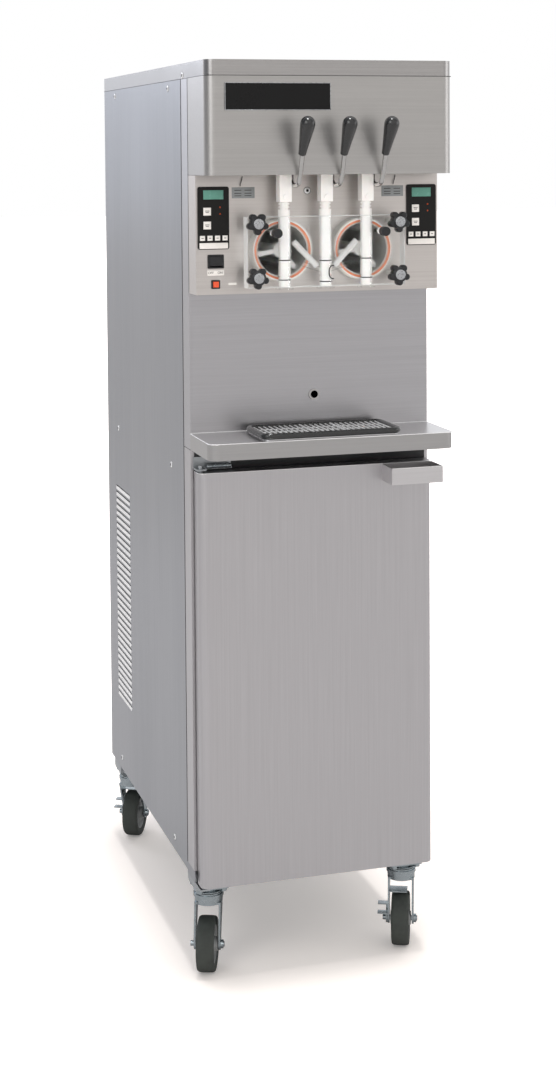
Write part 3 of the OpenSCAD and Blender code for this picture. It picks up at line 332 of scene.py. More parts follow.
# the door pull's copy is brighter than the door: painted light
pull_steel = brushed("brushed_stainless_door_pull", ("#d6d4d5", "#dfddde"), LEVEL, (0.28, 0.34))
# the shelf's top is painted brighter than its front: a painted highlight where light falls on it
shelf_steel = brushed("brushed_stainless_shelf", ("#b3b2b2", "#bbbab9"), LEVEL, (0.26, 0.34),
                      painted_lit_top=(SHELF_TOP_MM, ("#d3d2d3", "#dcdbdc")))
print("sheet steels", len(bpy.data.materials) - 1)

# %% Other metals
# bright zinc on pressed steel: slightly blue, cloudy and a little uneven
zinc = coated("bright_zinc_plate", ("#8e979b", "#b7bfc3"), (0.16, 0.32), 14, (3, 0.05), metallic=1.0)
# small steel forms painted near white, far brighter than the sheets: a painted highlight on the
# louvre lips, folded edges, grid wires and screw heads
highlight_steel = coated("painted_highlight_steel", ("#f4f5f6", "#fdfefe"), (0.3, 0.45), 20, (2.5, 0.04, (1, 0.1, 1)),
                   metallic=0.6)
# hammered machinery paint on castings
casting = coated("machinery_paint", ("#3f4347", "#4d5256"), (0.38, 0.55), 30, (4, 0.2))
# hot-dip galvanised sheet: spangles about 15 mm across
SPANGLE_MM = 15
galvanised, tree, place, shader = finish("galvanised_sheet", "#b4b8bb", 0.4, metallic=1.0)
flake = add(tree, "ShaderNodeTexVoronoi", {"Vector": place, "Scale": 1000 / SPANGLE_MM})
spangle = spread_over(tree, flake.outputs["Distance"], (0, 1), (0.32, 0.52))
tree.links.new(spangle, shader.inputs["Roughness"])
# mill-finish aluminium fins
fins = coated("aluminium_fins", ("#b9bbbd", "#ced0d2"), (0.32, 0.46), 25, (1.8, 0.3, (1, 0.05, 1)), metallic=1.0)
# nickel-plated tube, painted pale and only partly metallic so that its deep bore does not go dark: painted light in
# the bore
tube = coated("nickel_tube_painted_light", ("#d3d4d0", "#e6e7e4"), (0.34, 0.5), 60, (1.2, 0.02, (1, 0.05, 1)), metallic=0.3)
# chromed rod: a mirror with faint clouds
chrome = coated("chromed_rod", ("#b6b5b3", "#c8c7c5"), (0.05, 0.14), 20, (6, 0.01), metallic=1.0)
# anodised and spun aluminium cap, ringed by its cutter
cap_metal = coated("spun_aluminium", ("#9fa1a4", "#d5d7da"), (0.2, 0.4), 4, (0.7, 0.03), metallic=1.0)
print("metals", len(bpy.data.materials))

# %% Plastics, rubber and acrylic
# glass-filled nylon, spark-eroded grain
nylon = coated("black_nylon", ("#17181a", "#232427"), (0.35, 0.5), 20, (0.8, 0.06))
# glossy phenolic grip
phenolic = coated("black_phenolic", ("#1b1c1d", "#252627"), (0.14, 0.26), 15, (10, 0.03),
                  other={"Coat Weight": 0.4, "Coat Roughness": 0.08})
# polyester keypad film with a fine satin emboss
film = coated("black_key_film", ("#0d0c0b", "#141312"), (0.4, 0.5), 18, (0.6, 0.02),
              other={"Specular IOR Level": 0.3})
# white printed keys
key_white = coated("white_key_print", ("#e6e4e0", "#f1efec"), (0.34, 0.44), 6, (0.8, 0.02))
# reflective liquid-crystal window: teal, its characters left blank
crystal = coated("crystal_window", ("#5a9082", "#689f91"), (0.2, 0.3), 12, (0.5, 0.01),
                 other={"Specular IOR Level": 0.3})
# small lamp lenses: the round one has ribs 1.6 mm apart
RIB_MM = 1.6
led = coated("amber_led", ("#96380f", "#b54e28"), (0.2, 0.3), 3)
lens, tree, place, shader = finish(
    "red_lamp_lens", "#dc4a22", 0.2,
    other={"Emission Color": linear("#ff5a28"), "Emission Strength": 0.12, "Coat Weight": 0.5})
vary(tree, place, shader, ("#cf4119", "#e65a32"), (0.14, 0.26), 5)
ribs = add(tree, "ShaderNodeTexWave", {"Vector": place, "Scale": 1000 / RIB_MM / 6.28}, bands_direction="X")
ridge = add(tree, "ShaderNodeBump", {"Height": ribs.outputs["Fac"], "Distance": 0.0002})
tree.links.new(ridge.outputs["Normal"], shader.inputs["Normal"])
# acetal, turned: white, faintly waxy, with fine lathe lines
acetal = coated("white_acetal", ("#f5f5f3", "#fcfcfb"), (0.28, 0.4), 18, (1.2, 0.03, (0.1, 0.1, 1)),
                other={"Subsurface Weight": 0.08, "Subsurface Scale": 0.004})
# cast acrylic, polished: clear with a trace of haze
ACRYLIC_IOR = 1.49
acrylic = coated("clear_acrylic", ("#f2f9f9", "#fbfdfd"), (0.015, 0.06), 40, (30, 0.02),
                 other={"Transmission Weight": 1.0, "Alpha": 0.2, "IOR": ACRYLIC_IOR})
# drilled acrylic: the bit leaves it frosted, so the ways for the mix show as milky tubes
frosted = coated("drilled_acrylic", ("#f4f7f7", "#fdfefe"), (0.38, 0.55), 8, (0.9, 0.05),
                 other={"Transmission Weight": 0.15, "Alpha": 0.72, "IOR": ACRYLIC_IOR})
# food-grade silicone, moulded orange
silicone = coated("orange_silicone", ("#f98e5d", "#ffa67c"), (0.44, 0.58), 10, (0.8, 0.04),
                  other={"Subsurface Weight": 0.05, "Subsurface Scale": 0.003})
# nitrile O-rings
nitrile = coated("nitrile_rubber", ("#131415", "#1e1f20"), (0.34, 0.5), 4, (0.6, 0.02))
# tyre tread: worn rubber, dusty grey-green where it rolls
tyre = coated("worn_tyre_rubber", ("#232624", "#454b47"), (0.6, 0.85), 9, (1.6, 0.25))
# polypropylene wheel centre
core_grey = coated("grey_polypropylene", ("#818485", "#949798"), (0.44, 0.6), 12, (1, 0.05))
# grey polyester labels and their print; the print's dark is also used as painted shade on the screws
label_grey = coated("grey_label", ("#888d8f", "#989d9f"), (0.44, 0.56), 8, (0.7, 0.02))
ink_and_painted_shade = coated("label_ink_and_painted_shade", ("#222426", "#303234"), (0.45, 0.6), 3)
# gloss black plate
plate_black = coated("satin_black_plate", ("#0a0a0b", "#111112"), (0.25, 0.36), 50, (25, 0.05),
                     other={"Specular IOR Level": 0.25})
# white vacuum-formed liner with a black magnetic gasket at the cabinet side
GASKET_FROM = SPLASH_Y - 0.0039
liner, tree, place, shader = finish("door_liner_and_gasket", "#e3e4e2", 0.4)
depth = add(tree, "ShaderNodeSeparateXYZ", {"Vector": place})
behind = add(tree, "ShaderNodeMath", {0: depth.outputs["Y"], 1: GASKET_FROM}, operation="GREATER_THAN")
tree.links.new(two_tones(tree, behind.outputs[0], "#e3e4e2", "#2a2b2d"), shader.inputs["Base Color"])
speckle = add(tree, "ShaderNodeTexNoise", {"Vector": place, "Scale": 1000 / 30})
gloss = spread_over(tree, speckle.outputs["Fac"], (0, 1), (0.34, 0.55))
tree.links.new(gloss, shader.inputs["Roughness"])
bumps(tree, place, shader, 2, 0.05)
print("all finishes", len(bpy.data.materials))

# %% Finishes on the CAD solids
finish_of = {
    side_steel: ["left_side_panel", "right_side_panel", "rear_panel"],
    door_steel: ["cabinet_door", "cabinet_liner"],
    front_steel: ["hood_front"],
    roof_steel: ["roof_cover"],
    control_steel: ["control_panel"],
    splash_steel: ["splash_panel"],
    pull_steel: ["door_handle"],
    shelf_steel: ["shelf", "drip_tray", "left_mix_container", "right_mix_container"],
    zinc: ["caster_plates", "lever_bracket", "caster_fork_fl", "caster_fork_fr", "caster_fork_rl", "caster_fork_rr",
           "brake_pedal_fr", "brake_pedal_rl"],
    casting: ["drive_gearmotors", "compressor", "condenser_fan"],
    galvanised: ["control_box", "mix_pumps", "base_frame"],
    fins: ["condenser"],
    tube: ["freezing_barrels"],
    chrome: ["drip_outlet"],
    nylon: ["switch_housings", "main_rocker", "left_bleed_knob", "right_bleed_knob", "power_inlet",
            "star_knob_upper_left", "star_knob_upper_right", "star_knob_lower_left", "star_knob_lower_right"],
    film: ["key_panels"],
    lens: ["lamp_button"],
    acetal: ["left_plunger", "centre_plunger", "right_plunger", "left_dasher", "right_dasher"],
    acrylic: ["freezer_door"],
    silicone: ["barrel_gaskets"],
    plate_black: ["badge_plate"],
    liner: ["door_liner"],
}
for material, names in finish_of.items():
    for name in names:
        nodes[name].data.materials.clear()
        nodes[name].data.materials.append(material)
print("finished solids", sum(len(n) for n in finish_of.values()))

# %% [markdown]
# ## Shapes
# Three ways of making a piece cover nearly everything here: a profile spun round an axis, a
# block with its edges rounded, and a rod bent through points.

# %% Helpers for pieces


def piece(name, bm, materials, body, sharp=40):
    """Ends a bmesh: a named object at the origin that rides on a body."""
    bmesh.ops.remove_doubles(bm, verts=bm.verts, dist=1e-6)
    bmesh.ops.recalc_face_normals(bm, faces=bm.faces)
    mesh = bpy.data.meshes.new(name)
    bm.to_mesh(mesh)
    bm.free()
    mesh.shade_smooth()
    mesh.set_sharp_from_angle(angle=math.radians(sharp))
    for material in materials if isinstance(materials, list) else [materials]:
        mesh.materials.append(material)
    made = bpy.data.objects.new(name, mesh)
    bpy.context.scene.collection.objects.link(made)
    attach(made, body)
    return made


def spun(bm, profile, centre, axis, steps=48, material=0):
    """Spins a profile of (radius, height) in mm round an axis through centre."""
    axis = Vector(axis).normalized()
    side = axis.orthogonal().normalized()
    start = [bm.verts.new(centre + side * r / 1000 + axis * h / 1000) for r, h in profile]
    edges = [bm.edges.new((a, b)) for a, b in zip(start, start[1:])]
    before = set(bm.faces)
    bmesh.ops.spin(bm, geom=start + edges, cent=centre, axis=axis, angle=math.tau, steps=steps, use_merge=True)
    bmesh.ops.remove_doubles(bm, verts=bm.verts, dist=1e-7)
    for face in set(bm.faces) - before:
        face.material_index = material


def block(bm, low, high, round_mm=0.0, material=0):
    """A box between two corners in metres, its edges rounded by round_mm."""
    low, high = Vector(low), Vector(high)
    before = set(bm.faces)
    size = high - low
    made = bmesh.ops.create_cube(bm, size=1)["verts"]
    bmesh.ops.scale(bm, vec=size, verts=made)
    bmesh.ops.translate(bm, vec=(low + high) / 2, verts=made)
    if round_mm:
        edges = list({e for v in made for e in v.link_edges})
        bmesh.ops.bevel(bm, geom=edges, offset=round_mm / 1000, segments=2, profile=0.5, affect="EDGES",
                        material=-1)
    for face in set(bm.faces) - before:
        face.material_index = material


def bent_path(points, bend_mm, steps=6):
    """The points with each corner rounded, bend_mm back along both sides."""
    points = [Vector(p) for p in points]
    path = [points[0]]
    for before, corner, after in zip(points, points[1:], points[2:]):
        a = corner + (before - corner).normalized() * bend_mm / 1000
        b = corner + (after - corner).normalized() * bend_mm / 1000
        for i in range(steps + 1):
            t = i / steps
            path.append(a.lerp(corner, t).lerp(corner.lerp(b, t), t))
    return path + [points[-1]]


def rod(bm, path, radius_mm, closed=False, resolution=5, material=0):
    """A round rod along a path, made as a curve and added to the bmesh."""
    curve = bpy.data.curves.new("rod", "CURVE")
    curve.dimensions = "3D"
    curve.bevel_depth = radius_mm / 1000
    curve.bevel_resolution = resolution
    curve.use_fill_caps = True
    spline = curve.splines.new("POLY")
    spline.points.add(len(path) - 1)
    for point, place in zip(spline.points, path):
        point.co = (*place, 1)
    spline.use_cyclic_u = closed
    holder = bpy.data.objects.new("rod", curve)
    mesh = bpy.data.meshes.new_from_object(holder)
    before = set(bm.faces)
    bm.from_mesh(mesh)
    for face in set(bm.faces) - before:
        face.material_index = material
    bpy.data.objects.remove(holder)
    bpy.data.curves.remove(curve)
    bpy.data.meshes.remove(mesh)


print("helpers ready")

# %% [markdown]
# ## Levers
# Each lever is a chromed rod with a U-bend that passes under the hood's edge, and a moulded
# grip screwed on its end. The bend stays clear of the hood while the lever turns.

# %% Levers
SPIGOTS = {"left": -78, "centre": 0, "right": 78}
lean = math.radians(32.7)
along = Vector((0, -math.sin(lean), math.cos(lean)))
# depth and height of the hood's edge, the shaft and the finger that lifts the plunger
EDGE, SHAFT, FINGER = (-137.96, 1492.81), (-84, 1522), (-55.84, 1511.75)
# how far the rod and the grip stand to the right of the spigot
ROD_X, GRIP_X = 15.9, 12.25


def lever_point(x, run):
    """A point run millimetres up from the hood's edge, along the lever's lean."""
    return at(x, *EDGE) + along * run / 1000


for side, x in SPIGOTS.items():
    body = side + "_lever"
    bm = bmesh.new()
    half_turn = [math.pi * i / 14 for i in range(15)]
    bend = [at(x + ROD_X, -108.82 + 24.82 * math.cos(t), 1486.08 - 10 * math.sin(t)) for t in half_turn]
    path = [at(x + ROD_X, SHAFT[0], SHAFT[1] - 3)] + bend + [lever_point(x + ROD_X, 10), lever_point(x + GRIP_X, 53)]
    rod(bm, path, 4.4, resolution=7)
    spun(bm, [(0, -3), (6.4, -3), (7, -2.4), (7, 2.4), (6.4, 3), (0, 3)], at(x + ROD_X, *SHAFT), (1, 0, 0), 36)
    rod(bm, [at(x + ROD_X, *SHAFT), at(x + ROD_X, *FINGER)], 3.2)
    rod(bm, [at(x - 6, *FINGER), at(x + ROD_X + 3, *FINGER)], 3)
    shaft = piece(side + "_lever_rod", bm, chrome, body)
    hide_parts(body)
    bm = bmesh.new()
    swell = [(0, 47), (6.2, 47), (7, 47.8), (7.6, 56), (9.1, 70), (10.9, 85), (12.5, 98), (13.4, 107),
             (13.5, 110), (13.1, 113.6), (11.7, 117), (9.4, 120), (6.2, 122.2), (3, 123), (0, 123)]
    spun(bm, swell, lever_point(x + GRIP_X, 0), along, 40)
    piece(side + "_lever_grip", bm, phenolic, body)
print("levers", len(SPIGOTS))

# %% [markdown]
# ## O-rings, bushes and the door's ways
# Rubber rings seal each plunger in its bore. They are thin black lines on white. The mix
# comes to the spigots through ways drilled in the clear door, which look milky.

# %% O-rings, bushes and ways
PLUNGER_Y = -92
DOOR_FRONT = -103
RINGS = {"left": (1306.5, 1342), "centre": (1302, 1340), "right": (1307.5, 1342.5)}
for side, x in SPIGOTS.items():
    bm = bmesh.new()
    for z in RINGS[side]:
        ring = [(9.75 + 1.5 * math.cos(math.tau * i / 12), 1.5 * math.sin(math.tau * i / 12)) for i in range(13)]
        spun(bm, ring, at(x, PLUNGER_Y, z), (0, 0, 1), 40)
    piece(side + "_plunger_rings", bm, nitrile, side + "_plunger")
# the centre spigot's port: a ring that is open at its right
port = []
for degrees in range(-100, 101, 10):
    rise, run = math.sin(math.radians(degrees)), math.cos(math.radians(degrees))
    port.append(at(10.6 - 9 * run, -107.9 + 3 * rise ** 2 + 0.02 * abs(degrees), 1319 + 12 * rise))
bm = bmesh.new()
rod(bm, port, 1.1)
piece("centre_port_ring", bm, nitrile, "cabinet")
bm = bmesh.new()
for x in (-102, 102):
    spun(bm, [(3.6, 0), (6.2, 0), (6.2, 1.2), (5.4, 2), (3.6, 2), (3.6, 0)], at(x, DOOR_FRONT, 1392), (0, -1, 0), 24)
piece("bleed_bushes", bm, acetal, "cabinet")
bm = bmesh.new()


def way(bm, start, end, radius_mm):
    """A tube just inside a drilled way: its wall only, open at both ends."""
    run, inner_mm = (end - start).length * 1000, radius_mm - 0.7
    wall = [(radius_mm, 0), (radius_mm, run), (inner_mm, run), (inner_mm, 0), (radius_mm, 0)]
    spun(bm, wall, start, end - start, 24)


for s in (-1, 1):
    way(bm, at(s * 60, -88, 1375), at(s * 16.5, -91.3, 1329.9), 5.5)
    way(bm, at(s * 77, -80.2, 1322), at(s * 77, -78.3, 1322), 5.8)
piece("mix_ways", bm, frosted, "cabinet")
print("rings ready")

# %% [markdown]
# ## Door edges and star knobs
# The clear door's sawn edges are frosted, and a thin white ring over each gasket's outer
# edge is a painted highlight. Its knobs are black with five lobes, each with a spun
# aluminium disc let into its face.

# %% Door edges
edge_x, edge_front, edge_back, edge_low, edge_high = 149.6, -102.6, -78.4, 1293.4, 1420.6
corners = ((-edge_x, edge_low), (edge_x, edge_low), (edge_x, edge_high), (-edge_x, edge_high))
bm = bmesh.new()
for y in (edge_front, edge_back):
    rod(bm, [at(x, y, z) for x, z in corners], 0.8, closed=True, resolution=2)
for s in (-1, 1):
    block(bm, at(s * 149.9 - 0.25, edge_front, edge_low), at(s * 149.9 + 0.25, edge_back, edge_high))
piece("freezer_door_edges", bm, frosted, "cabinet")
bm = bmesh.new()
# white rings over the gaskets' outer edges: a painted highlight
for s in (-1, 1):
    spun(bm, [(53.2, 0), (55.6, 0), (55.6, 0.4), (53.2, 0.4), (53.2, 0)], at(s * 77, -78.1, 1359), (0, -1, 0), 72)
piece("gasket_edge_painted_highlights", bm, acetal, "cabinet")
print("door edges ready")

# %% Star knobs
knob_back = DOOR_FRONT - 0.3
for side, x in (("left", -134), ("right", 134)):
    for level, z in (("upper", 1409), ("lower", 1312)):
        name = f"star_knob_{level}_{side}"
        bm = bmesh.new()
        for lobe in range(5):
            turn_by = math.radians(72 * lobe + 36)
            spun(bm, [(0, 2), (5.4, 2), (6, 2.6), (6, 15.8), (5.2, 17.2), (3.4, 17.8), (0, 17.8)],
                 at(x + 14 * math.sin(turn_by), knob_back, z + 14 * math.cos(turn_by)), (0, -1, 0), 20)
        hub = [(4.1, 0), (12.6, 0), (13.5, 0.9), (13.9, 16.5), (13, 17.7), (10.4, 18.6), (9.9, 19.4),
               (4.1, 19.4), (4.1, 0)]
        spun(bm, hub, at(x, knob_back, z), (0, -1, 0), 48)
        knob = piece(name + "_body", bm, nylon, name, sharp=50)
        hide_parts(name)
        bm = bmesh.new()
        disc = [(0, 18.6), (9.2, 18.6), (9.3, 19.7), (8.9, 20), (5, 19.85), (0, 19.9)]
        spun(bm, disc, at(x, knob_back, z), (0, -1, 0), 40)
        piece(name + "_disc", bm, cap_metal, name)
print("knobs ready")

# %% [markdown]
# ## Key panels, labels and switches
# Each key panel is a sealed film with a display window, two large white keys, a row of four
# small ones, two lamps and a bare white strip. Their prints are left plain.

# %% Key panels
# the faces of the key film and of the steel under it
FILM, PANEL = -57, -54
KEY_PANELS_X = (-200, 200)


def tile(bm, x, z, w, h, y, thick, round_mm, material=0):
    """A flat block, w wide and h high, that stands thick millimetres out from the depth y."""
    block(bm, at(x - w / 2, y - thick, z - h / 2), at(x + w / 2, y, z + h / 2), round_mm, material)


bm = bmesh.new()
for x in KEY_PANELS_X:
    for z in (1430.5, 1405.5):
        tile(bm, x - 12, z, 14, 14, FILM, 1.3, 0.4)
        tile(bm, x - 12, z + 1, 8, 1.1, FILM - 1.28, 0.06, 0, 1)
        tile(bm, x - 12, z - 1.6, 6, 1.1, FILM - 1.28, 0.06, 0, 1)
    for i in (-1.5, -0.5, 0.5, 1.5):
        tile(bm, x + i * 14, 1382.5, 9.4, 9, FILM, 1.1, 0.4)
        tile(bm, x + i * 14, 1382.5, 4, 1.2, FILM - 1.08, 0.06, 0, 1)
    tile(bm, x, 1368.6, 53, 10.5, FILM, 0.4, 0.15)
piece("white_keys", bm, [key_white, ink_and_painted_shade], "cabinet")
bm = bmesh.new()
for x in KEY_PANELS_X:
    tile(bm, x, 1460.5, 37.6, 16.6, FILM + 0.8, 0.5, 0.2)
piece("display_windows", bm, crystal, "cabinet")
bm = bmesh.new()
for x in KEY_PANELS_X:
    for z in (1438, 1426):
        spun(bm, [(0, 1.1), (1.1, 0.8), (1.6, 0), (0, 0)], at(x + 12.3, FILM, z), (0, -1, 0), 16)
piece("status_lamps", bm, led, "cabinet")
print("key panels", len(KEY_PANELS_X))

# %% Labels, switches and the badge's rim
bm = bmesh.new()
for x in (-143.5, 143.5):
    tile(bm, x, 1463.5, 43, 20, PANEL, 0.35, 0.15)
    for z in (1468, 1462.5, 1458):
        for shift in (-10, 9):
            tile(bm, x + shift, z, 13, 1.2, PANEL - 0.34, 0.05, 0, 1)
tile(bm, -196, 1319.5, 31, 9.6, PANEL, 0.3, 0.12, 2)
tile(bm, -165, 1299, 15, 4, PANEL, 0.3, 0.1, 2)
piece("panel_labels", bm, [label_grey, ink_and_painted_shade, key_white], "cabinet")


def words(name, text, x, y, z, size_mm):
    """Short lettering on the cabinet, made a mesh before it is put in place."""
    data = bpy.data.curves.new(name, "FONT")
    data.body, data.size, data.extrude = text, size_mm / 1000, 0.00004
    data.align_x = data.align_y = "CENTER"
    holder = bpy.data.objects.new(name, data)
    mesh = bpy.data.meshes.new_from_object(holder)
    mesh.transform(Matrix.Translation(at(x, y, z)) @ Matrix.Rotation(math.pi / 2, 4, "X"))
    bpy.data.objects.remove(holder)
    bpy.data.curves.remove(data)
    mesh.materials.append(ink_and_painted_shade)
    made = bpy.data.objects.new(name, mesh)
    bpy.context.scene.collection.objects.link(made)
    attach(made, "cabinet")


words("label_off", "OFF", -205, PANEL - 0.34, 1319.5, 6)
words("label_on", "ON", -188, PANEL - 0.34, 1319.5, 6)
bm = bmesh.new()
badge_x, badge_z = -232.5 + 34 + 98, 1635
half_w, half_h, rim_w = 98, 24.5, 1.2
in_w, in_h = half_w - rim_w, half_h - rim_w
for x0, x1, z0, z1 in ((-half_w, half_w, in_h, half_h), (-half_w, half_w, -half_h, -in_h),
                       (-half_w, -in_w, -in_h, in_h), (in_w, half_w, -in_h, in_h)):
    block(bm, at(badge_x + x0, -135.5, badge_z + z0), at(badge_x + x1, -134.9, badge_z + z1), 0.1)
piece("badge_rim", bm, cap_metal, "cabinet")
bm = bmesh.new()
for x in (-147, 147):
    hook = [at(x + 2, PANEL, 1493), at(x + 0.5, -57, 1488), at(x - 3, -57.5, 1478), at(x - 2, -55, 1476)]
    rod(bm, bent_path(hook, 2), 0.7, resolution=3)
piece("panel_hooks", bm, nylon, "cabinet")
print("control panel ready")

# %% [markdown]
# ## Fasteners
# Pan-head screws with a cross recess hold the panels: fourteen in the sides, six in the
# rear and one on the control panel. The shade round each head and in its recess is painted
# dark.

# %% Panel screws
bm = bmesh.new()


def screw(bm, place, axis):
    """A low head, with painted shade: a dark ring round it where it meets the panel, and two dark bars that cross on
    it in its cross recess.
    """
    spun(bm, [(0, 1.7), (2.6, 1.6), (4.8, 1.1), (5.9, 0.4), (6, 0), (0, 0)], place, axis, 20)
    # a dark ring round the head: painted shade where it meets the panel
    spun(bm, [(6, 0.02), (6.8, 0.02), (6.8, 0.12), (6, 0.12), (6, 0.02)], place, axis, 20, 1)
    axis = Vector(axis)
    side = axis.orthogonal().normalized()
    # two dark bars: painted shade in the cross recess
    for arm in (side, axis.cross(side)):
        low = place + axis * 0.0013 - arm * 0.0028
        high = place + axis * 0.0018 + arm * 0.0028
        wide = axis.cross(arm) * 0.0005
        a, b = low - wide, high + wide
        block(bm, [min(a[i], b[i]) for i in range(3)], [max(a[i], b[i]) for i in range(3)], material=1)


for s in (-1, 1):
    for y, z in ((152, 1658), (643, 1658), (152, 940), (643, 940), (152, 213), (643, 213), (36, 1678)):
        screw(bm, at(s * 232.5, y, z), (s, 0, 0))
    for z in (223, 940, 1652):
        screw(bm, at(s * 219, 757, z), (0, 1, 0))
screw(bm, at(-22, PANEL, 1466), (0, -1, 0))
screws = piece("cross_head_screws", bm, [highlight_steel, ink_and_painted_shade], "cabinet")
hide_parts("panel_screws")
print("screws ready")

# %% [markdown]
# ## Louvres
# The vents in the side and rear panels are slits with a lip in each, painted near white as
# a highlight and leaning back a little, so that it catches the light.

# %% Louvre lips
LOUVRE_PITCH, LIP_W = 13.8, 6.6


def lip(bm, centre, wide_mm, high_mm, lean_degrees, axis, cuts):
    """A thin strip leaned about one axis, wide_mm along x and high_mm along y before that."""
    made = bmesh.ops.create_grid(bm, x_segments=cuts[0], y_segments=cuts[1], size=0.5)["verts"]
    bmesh.ops.scale(bm, vec=(wide_mm / 1000, high_mm / 1000, 1), verts=made)
    lean = Matrix.Rotation(math.radians(lean_degrees), 3, axis)
    bmesh.ops.rotate(bm, cent=(0, 0, 0), matrix=lean, verts=made)
    bmesh.ops.translate(bm, vec=centre, verts=made)


bm = bmesh.new()
for i in range(34):
    for s in (-1, 1):
        lip(bm, at(s * 232.9, 604, 352 + LOUVRE_PITCH * i - 1.4), LIP_W, 137, 82 * s, "Y", (3, 8))
bmesh.ops.solidify(bm, geom=bm.faces[:], thickness=0.0004)
piece("side_louvres", bm, highlight_steel, "cabinet")
bm = bmesh.new()
for base in (620, 1440):
    for i in range(14):
        lip(bm, at(0, 756.8, base + LOUVRE_PITCH * i + 2.6), 219, LIP_W, -68, "X", (8, 3))
bmesh.ops.solidify(bm, geom=bm.faces[:], thickness=0.0006)
piece("rear_louvres", bm, highlight_steel, "cabinet")
print("louvres ready")

# %% [markdown]
# ## Seams and edges
# Where two sheets meet, the shade in a hair-wide open seam is painted as a dark line, and
# the highlight on a folded edge is painted as a bright one. Both are thin beads that follow
# the sheets' outlines.

# %% Seams and folded edges
def outline(half, front, corner, back, z):
    """A plan's left, front and right sides with its rounded corners, at one height."""
    plan = [at(-half, back, z), at(-half, front, z), at(half, front, z), at(half, back, z)]
    return bent_path(plan, corner * 0.8, 8)


bm = bmesh.new()
# black rods in the open seams between sheets: painted shade
rod(bm, outline(232.6, -133.1, 19, 756, 1672), 0.55, resolution=2)
rod(bm, [at(-230, 757.1, 1672), at(230, 757.1, 1672)], 0.55, resolution=2)
for s in (-1, 1):
    rod(bm, [at(s * 232.5, 50.3, 203), at(s * 232.5, 50.3, 1672)], 0.7, resolution=2)
    rod(bm, [at(s * 232.5, 0, 1280), at(s * 232.5, 0, 1672)], 0.5, resolution=2)
rod(bm, [at(-232.6, 50, 991), at(-232.6, 0, 991), at(232.6, 0, 991), at(232.6, 50, 991)], 0.5, resolution=2)
piece("sheet_seam_painted_shade", bm, nitrile, "cabinet")
bm = bmesh.new()
# a near-white bead along the shelf's folded edge: a painted highlight
rod(bm, outline(231.9, -138.4, 19, -1, 1020.9), 0.75, resolution=3)
rod(bm, [at(-232, -0.4, 1021.8), at(232, -0.4, 1021.8)], 0.6, resolution=2)
piece("shelf_edge_painted_highlight", bm, highlight_steel, "cabinet")
bm = bmesh.new()
# near-white beads along the door's folded top edge and the pull's lip: a painted highlight
rod(bm, outline(226.4, -38.4, 15, -6, 952.4), 0.7, resolution=3)
rod(bm, [at(127, -94.6, 951.6), at(226.6, -94.6, 951.6)], 0.8, resolution=3)
piece("door_edge_painted_highlight", bm, highlight_steel, "door")
bm = bmesh.new()
for s in (-1, 1):
    block(bm, at(s * 231.9 - 0.6, -3.4, 187), at(s * 231.9 + 0.6, 757, 203.1))
    block(bm, at(s * 231.9 - 0.6, -3.4, 181.5), at(s * 231.9 + 0.6, 50, 187))
piece("skirt_folds", bm, side_steel, "cabinet")
bm = bmesh.new()
# a black strip on the liner over the door: the black gasket there, and painted shade in the gap under the shelf
block(bm, at(-226, -1.6, 951), at(226, 0, 990.5), 0.4)
piece("door_head_gasket_and_shade", bm, nylon, "cabinet")
print("seams ready")

# %% [markdown]
# ## Drip grid
# A black coated tube bent into a rounded rectangle, with steel wires welded across it.

# %% Drip grid
low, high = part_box("drip_grid")
rim_r = 5.5
rim_z = low.z + rim_r / 1000
x0, x1 = low.x + rim_r / 1000, high.x - rim_r / 1000
y0, y1 = low.y + rim_r / 1000, high.y - rim_r / 1000
mid_x = (x0 + x1) / 2
# the tube starts and ends at the middle of its front
plan = ((mid_x, y0), (x1, y0), (x1, y1), (x0, y1), (x0, y0), (mid_x, y0))
corners = [Vector((x, y, rim_z)) for x, y in plan]
bm = bmesh.new()
rod(bm, bent_path(corners, 16)[:-1], rim_r, closed=True, resolution=6)
rim = piece("drip_grid_rim", bm, phenolic, "drip_grid")
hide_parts("drip_grid")
bm = bmesh.new()
gaps = 26
for i in range(1, gaps):
    x = x0 + (x1 - x0) * i / gaps
    rod(bm, [Vector((x, y0, rim_z + 0.001)), Vector((x, y1, rim_z + 0.001))], 1.5, resolution=2)
for y in (y0 + 0.028, (y0 + y1) / 2, y1 - 0.028):
    rod(bm, [Vector((x0, y, rim_z - 0.0012)), Vector((x1, y, rim_z - 0.0012))], 1.3, resolution=2)
for x in (mid_x - 0.03, mid_x + 0.03):
    rod(bm, [Vector((x, y0, rim_z + 0.0016)), Vector((x, y1, rim_z + 0.0016))], 1.9, resolution=2)
# the wires get the near-white steel: a painted highlight
piece("drip_grid_wires", bm, highlight_steel, "drip_grid")
print("drip grid ready")

# %% [markdown]
# ## Casters
# A soft rubber tyre on a ribbed plastic centre, with a bearing cap on each side. Both are
# spun about the axle, which stands square to the fork.

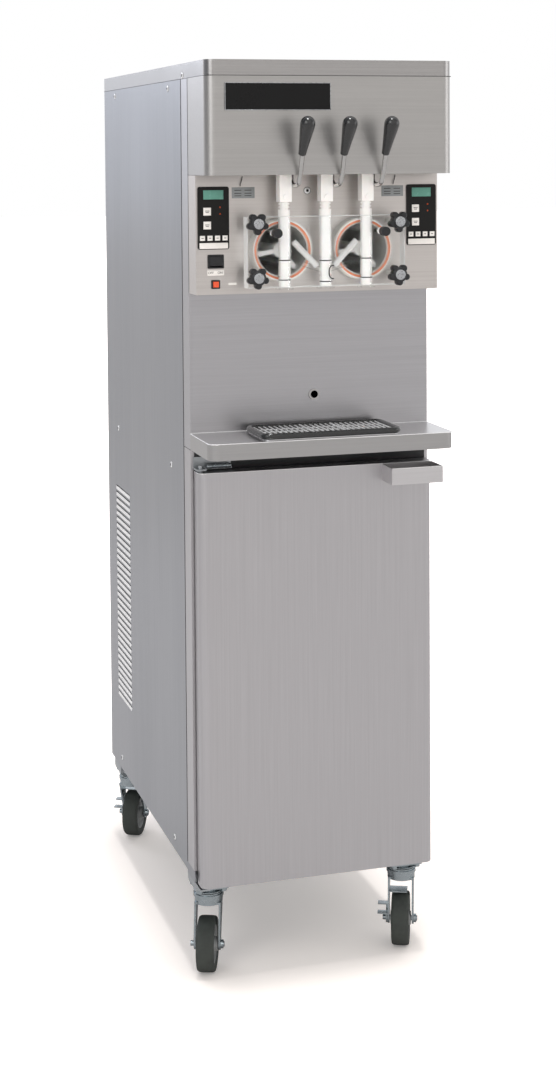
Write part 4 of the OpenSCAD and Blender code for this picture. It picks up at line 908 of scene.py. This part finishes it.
# %% Wheels
wheel_joints = {j["child"]: j for j in frame["joints"] if j["name"].startswith("wheel_spin")}
for name, joint in wheel_joints.items():
    centre, axle = Vector(joint["pos_m"]), Vector(joint["axis"])
    bm = bmesh.new()
    half = [(34.5, 14.6), (36.5, 15.6), (41, 16.6), (45, 17), (48, 16.4), (49.8, 14.2), (50.5, 11),
            (50.8, 6), (50.8, 0)]
    spun(bm, half + [(r, -h) for r, h in reversed(half[:-1])] + [(34.5, 14.6)], centre, axle, 72)
    tread = piece(name + "_tyre", bm, tyre, name, sharp=35)
    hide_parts(name)
    bm = bmesh.new()
    web = [(5.1, 19.8), (11.5, 19.8), (12.8, 19), (13.4, 14), (16, 10.4), (26, 9.2), (31, 10.4), (33, 14),
           (34.8, 14.4)]
    spun(bm, web + [(r, -h) for r, h in reversed(web)] + [(5.1, 19.8)], centre, axle, 48)
    side = axle.orthogonal().normalized()
    for k in range(8):
        arm = Matrix.Rotation(math.tau * k / 8, 4, axle) @ side
        for s in (-1, 1):
            ends = [centre + arm * run + axle * s * 0.0098 for run in (0.013, 0.032)]
            rod(bm, ends, 1.6, resolution=2)
    piece(name + "_centre", bm, core_grey, name)
print("wheels", len(wheel_joints))

# %% Swivel races and hinge spring
race = [(22, 0), (27.5, 0), (28.4, 0.9), (28.4, 2.2), (27.5, 3), (22, 3), (22, 0)]
bm = bmesh.new()
for x in (-194, 194):
    for y in (46, 726):
        spun(bm, race, at(x, y, 147.2), (0, 0, 1), 48)
piece("swivel_races", bm, zinc, "cabinet")
bm = bmesh.new()
# a barrel with a thick end on each side, and eleven coils between them
barrel = [(0, 0), (4.2, 0), (4.6, 0.6), (4.6, 10), (3.7, 10.6), (3.7, 36), (4.6, 36.6), (4.6, 45.4),
          (4.2, 46), (0, 46)]
coil = [(3.6, 0), (4.3, 0.5), (4.5, 1.1), (4.3, 1.7), (3.6, 2.2)]
spun(bm, barrel, at(-206, -14, 961.8), (1, 0, 0), 28)
for k in range(11):
    spun(bm, coil, at(-206 + 11.2 + 2.28 * k, -14, 961.8), (1, 0, 0), 24)
piece("hinge_spring", bm, zinc, "cabinet")
print("hardware ready")
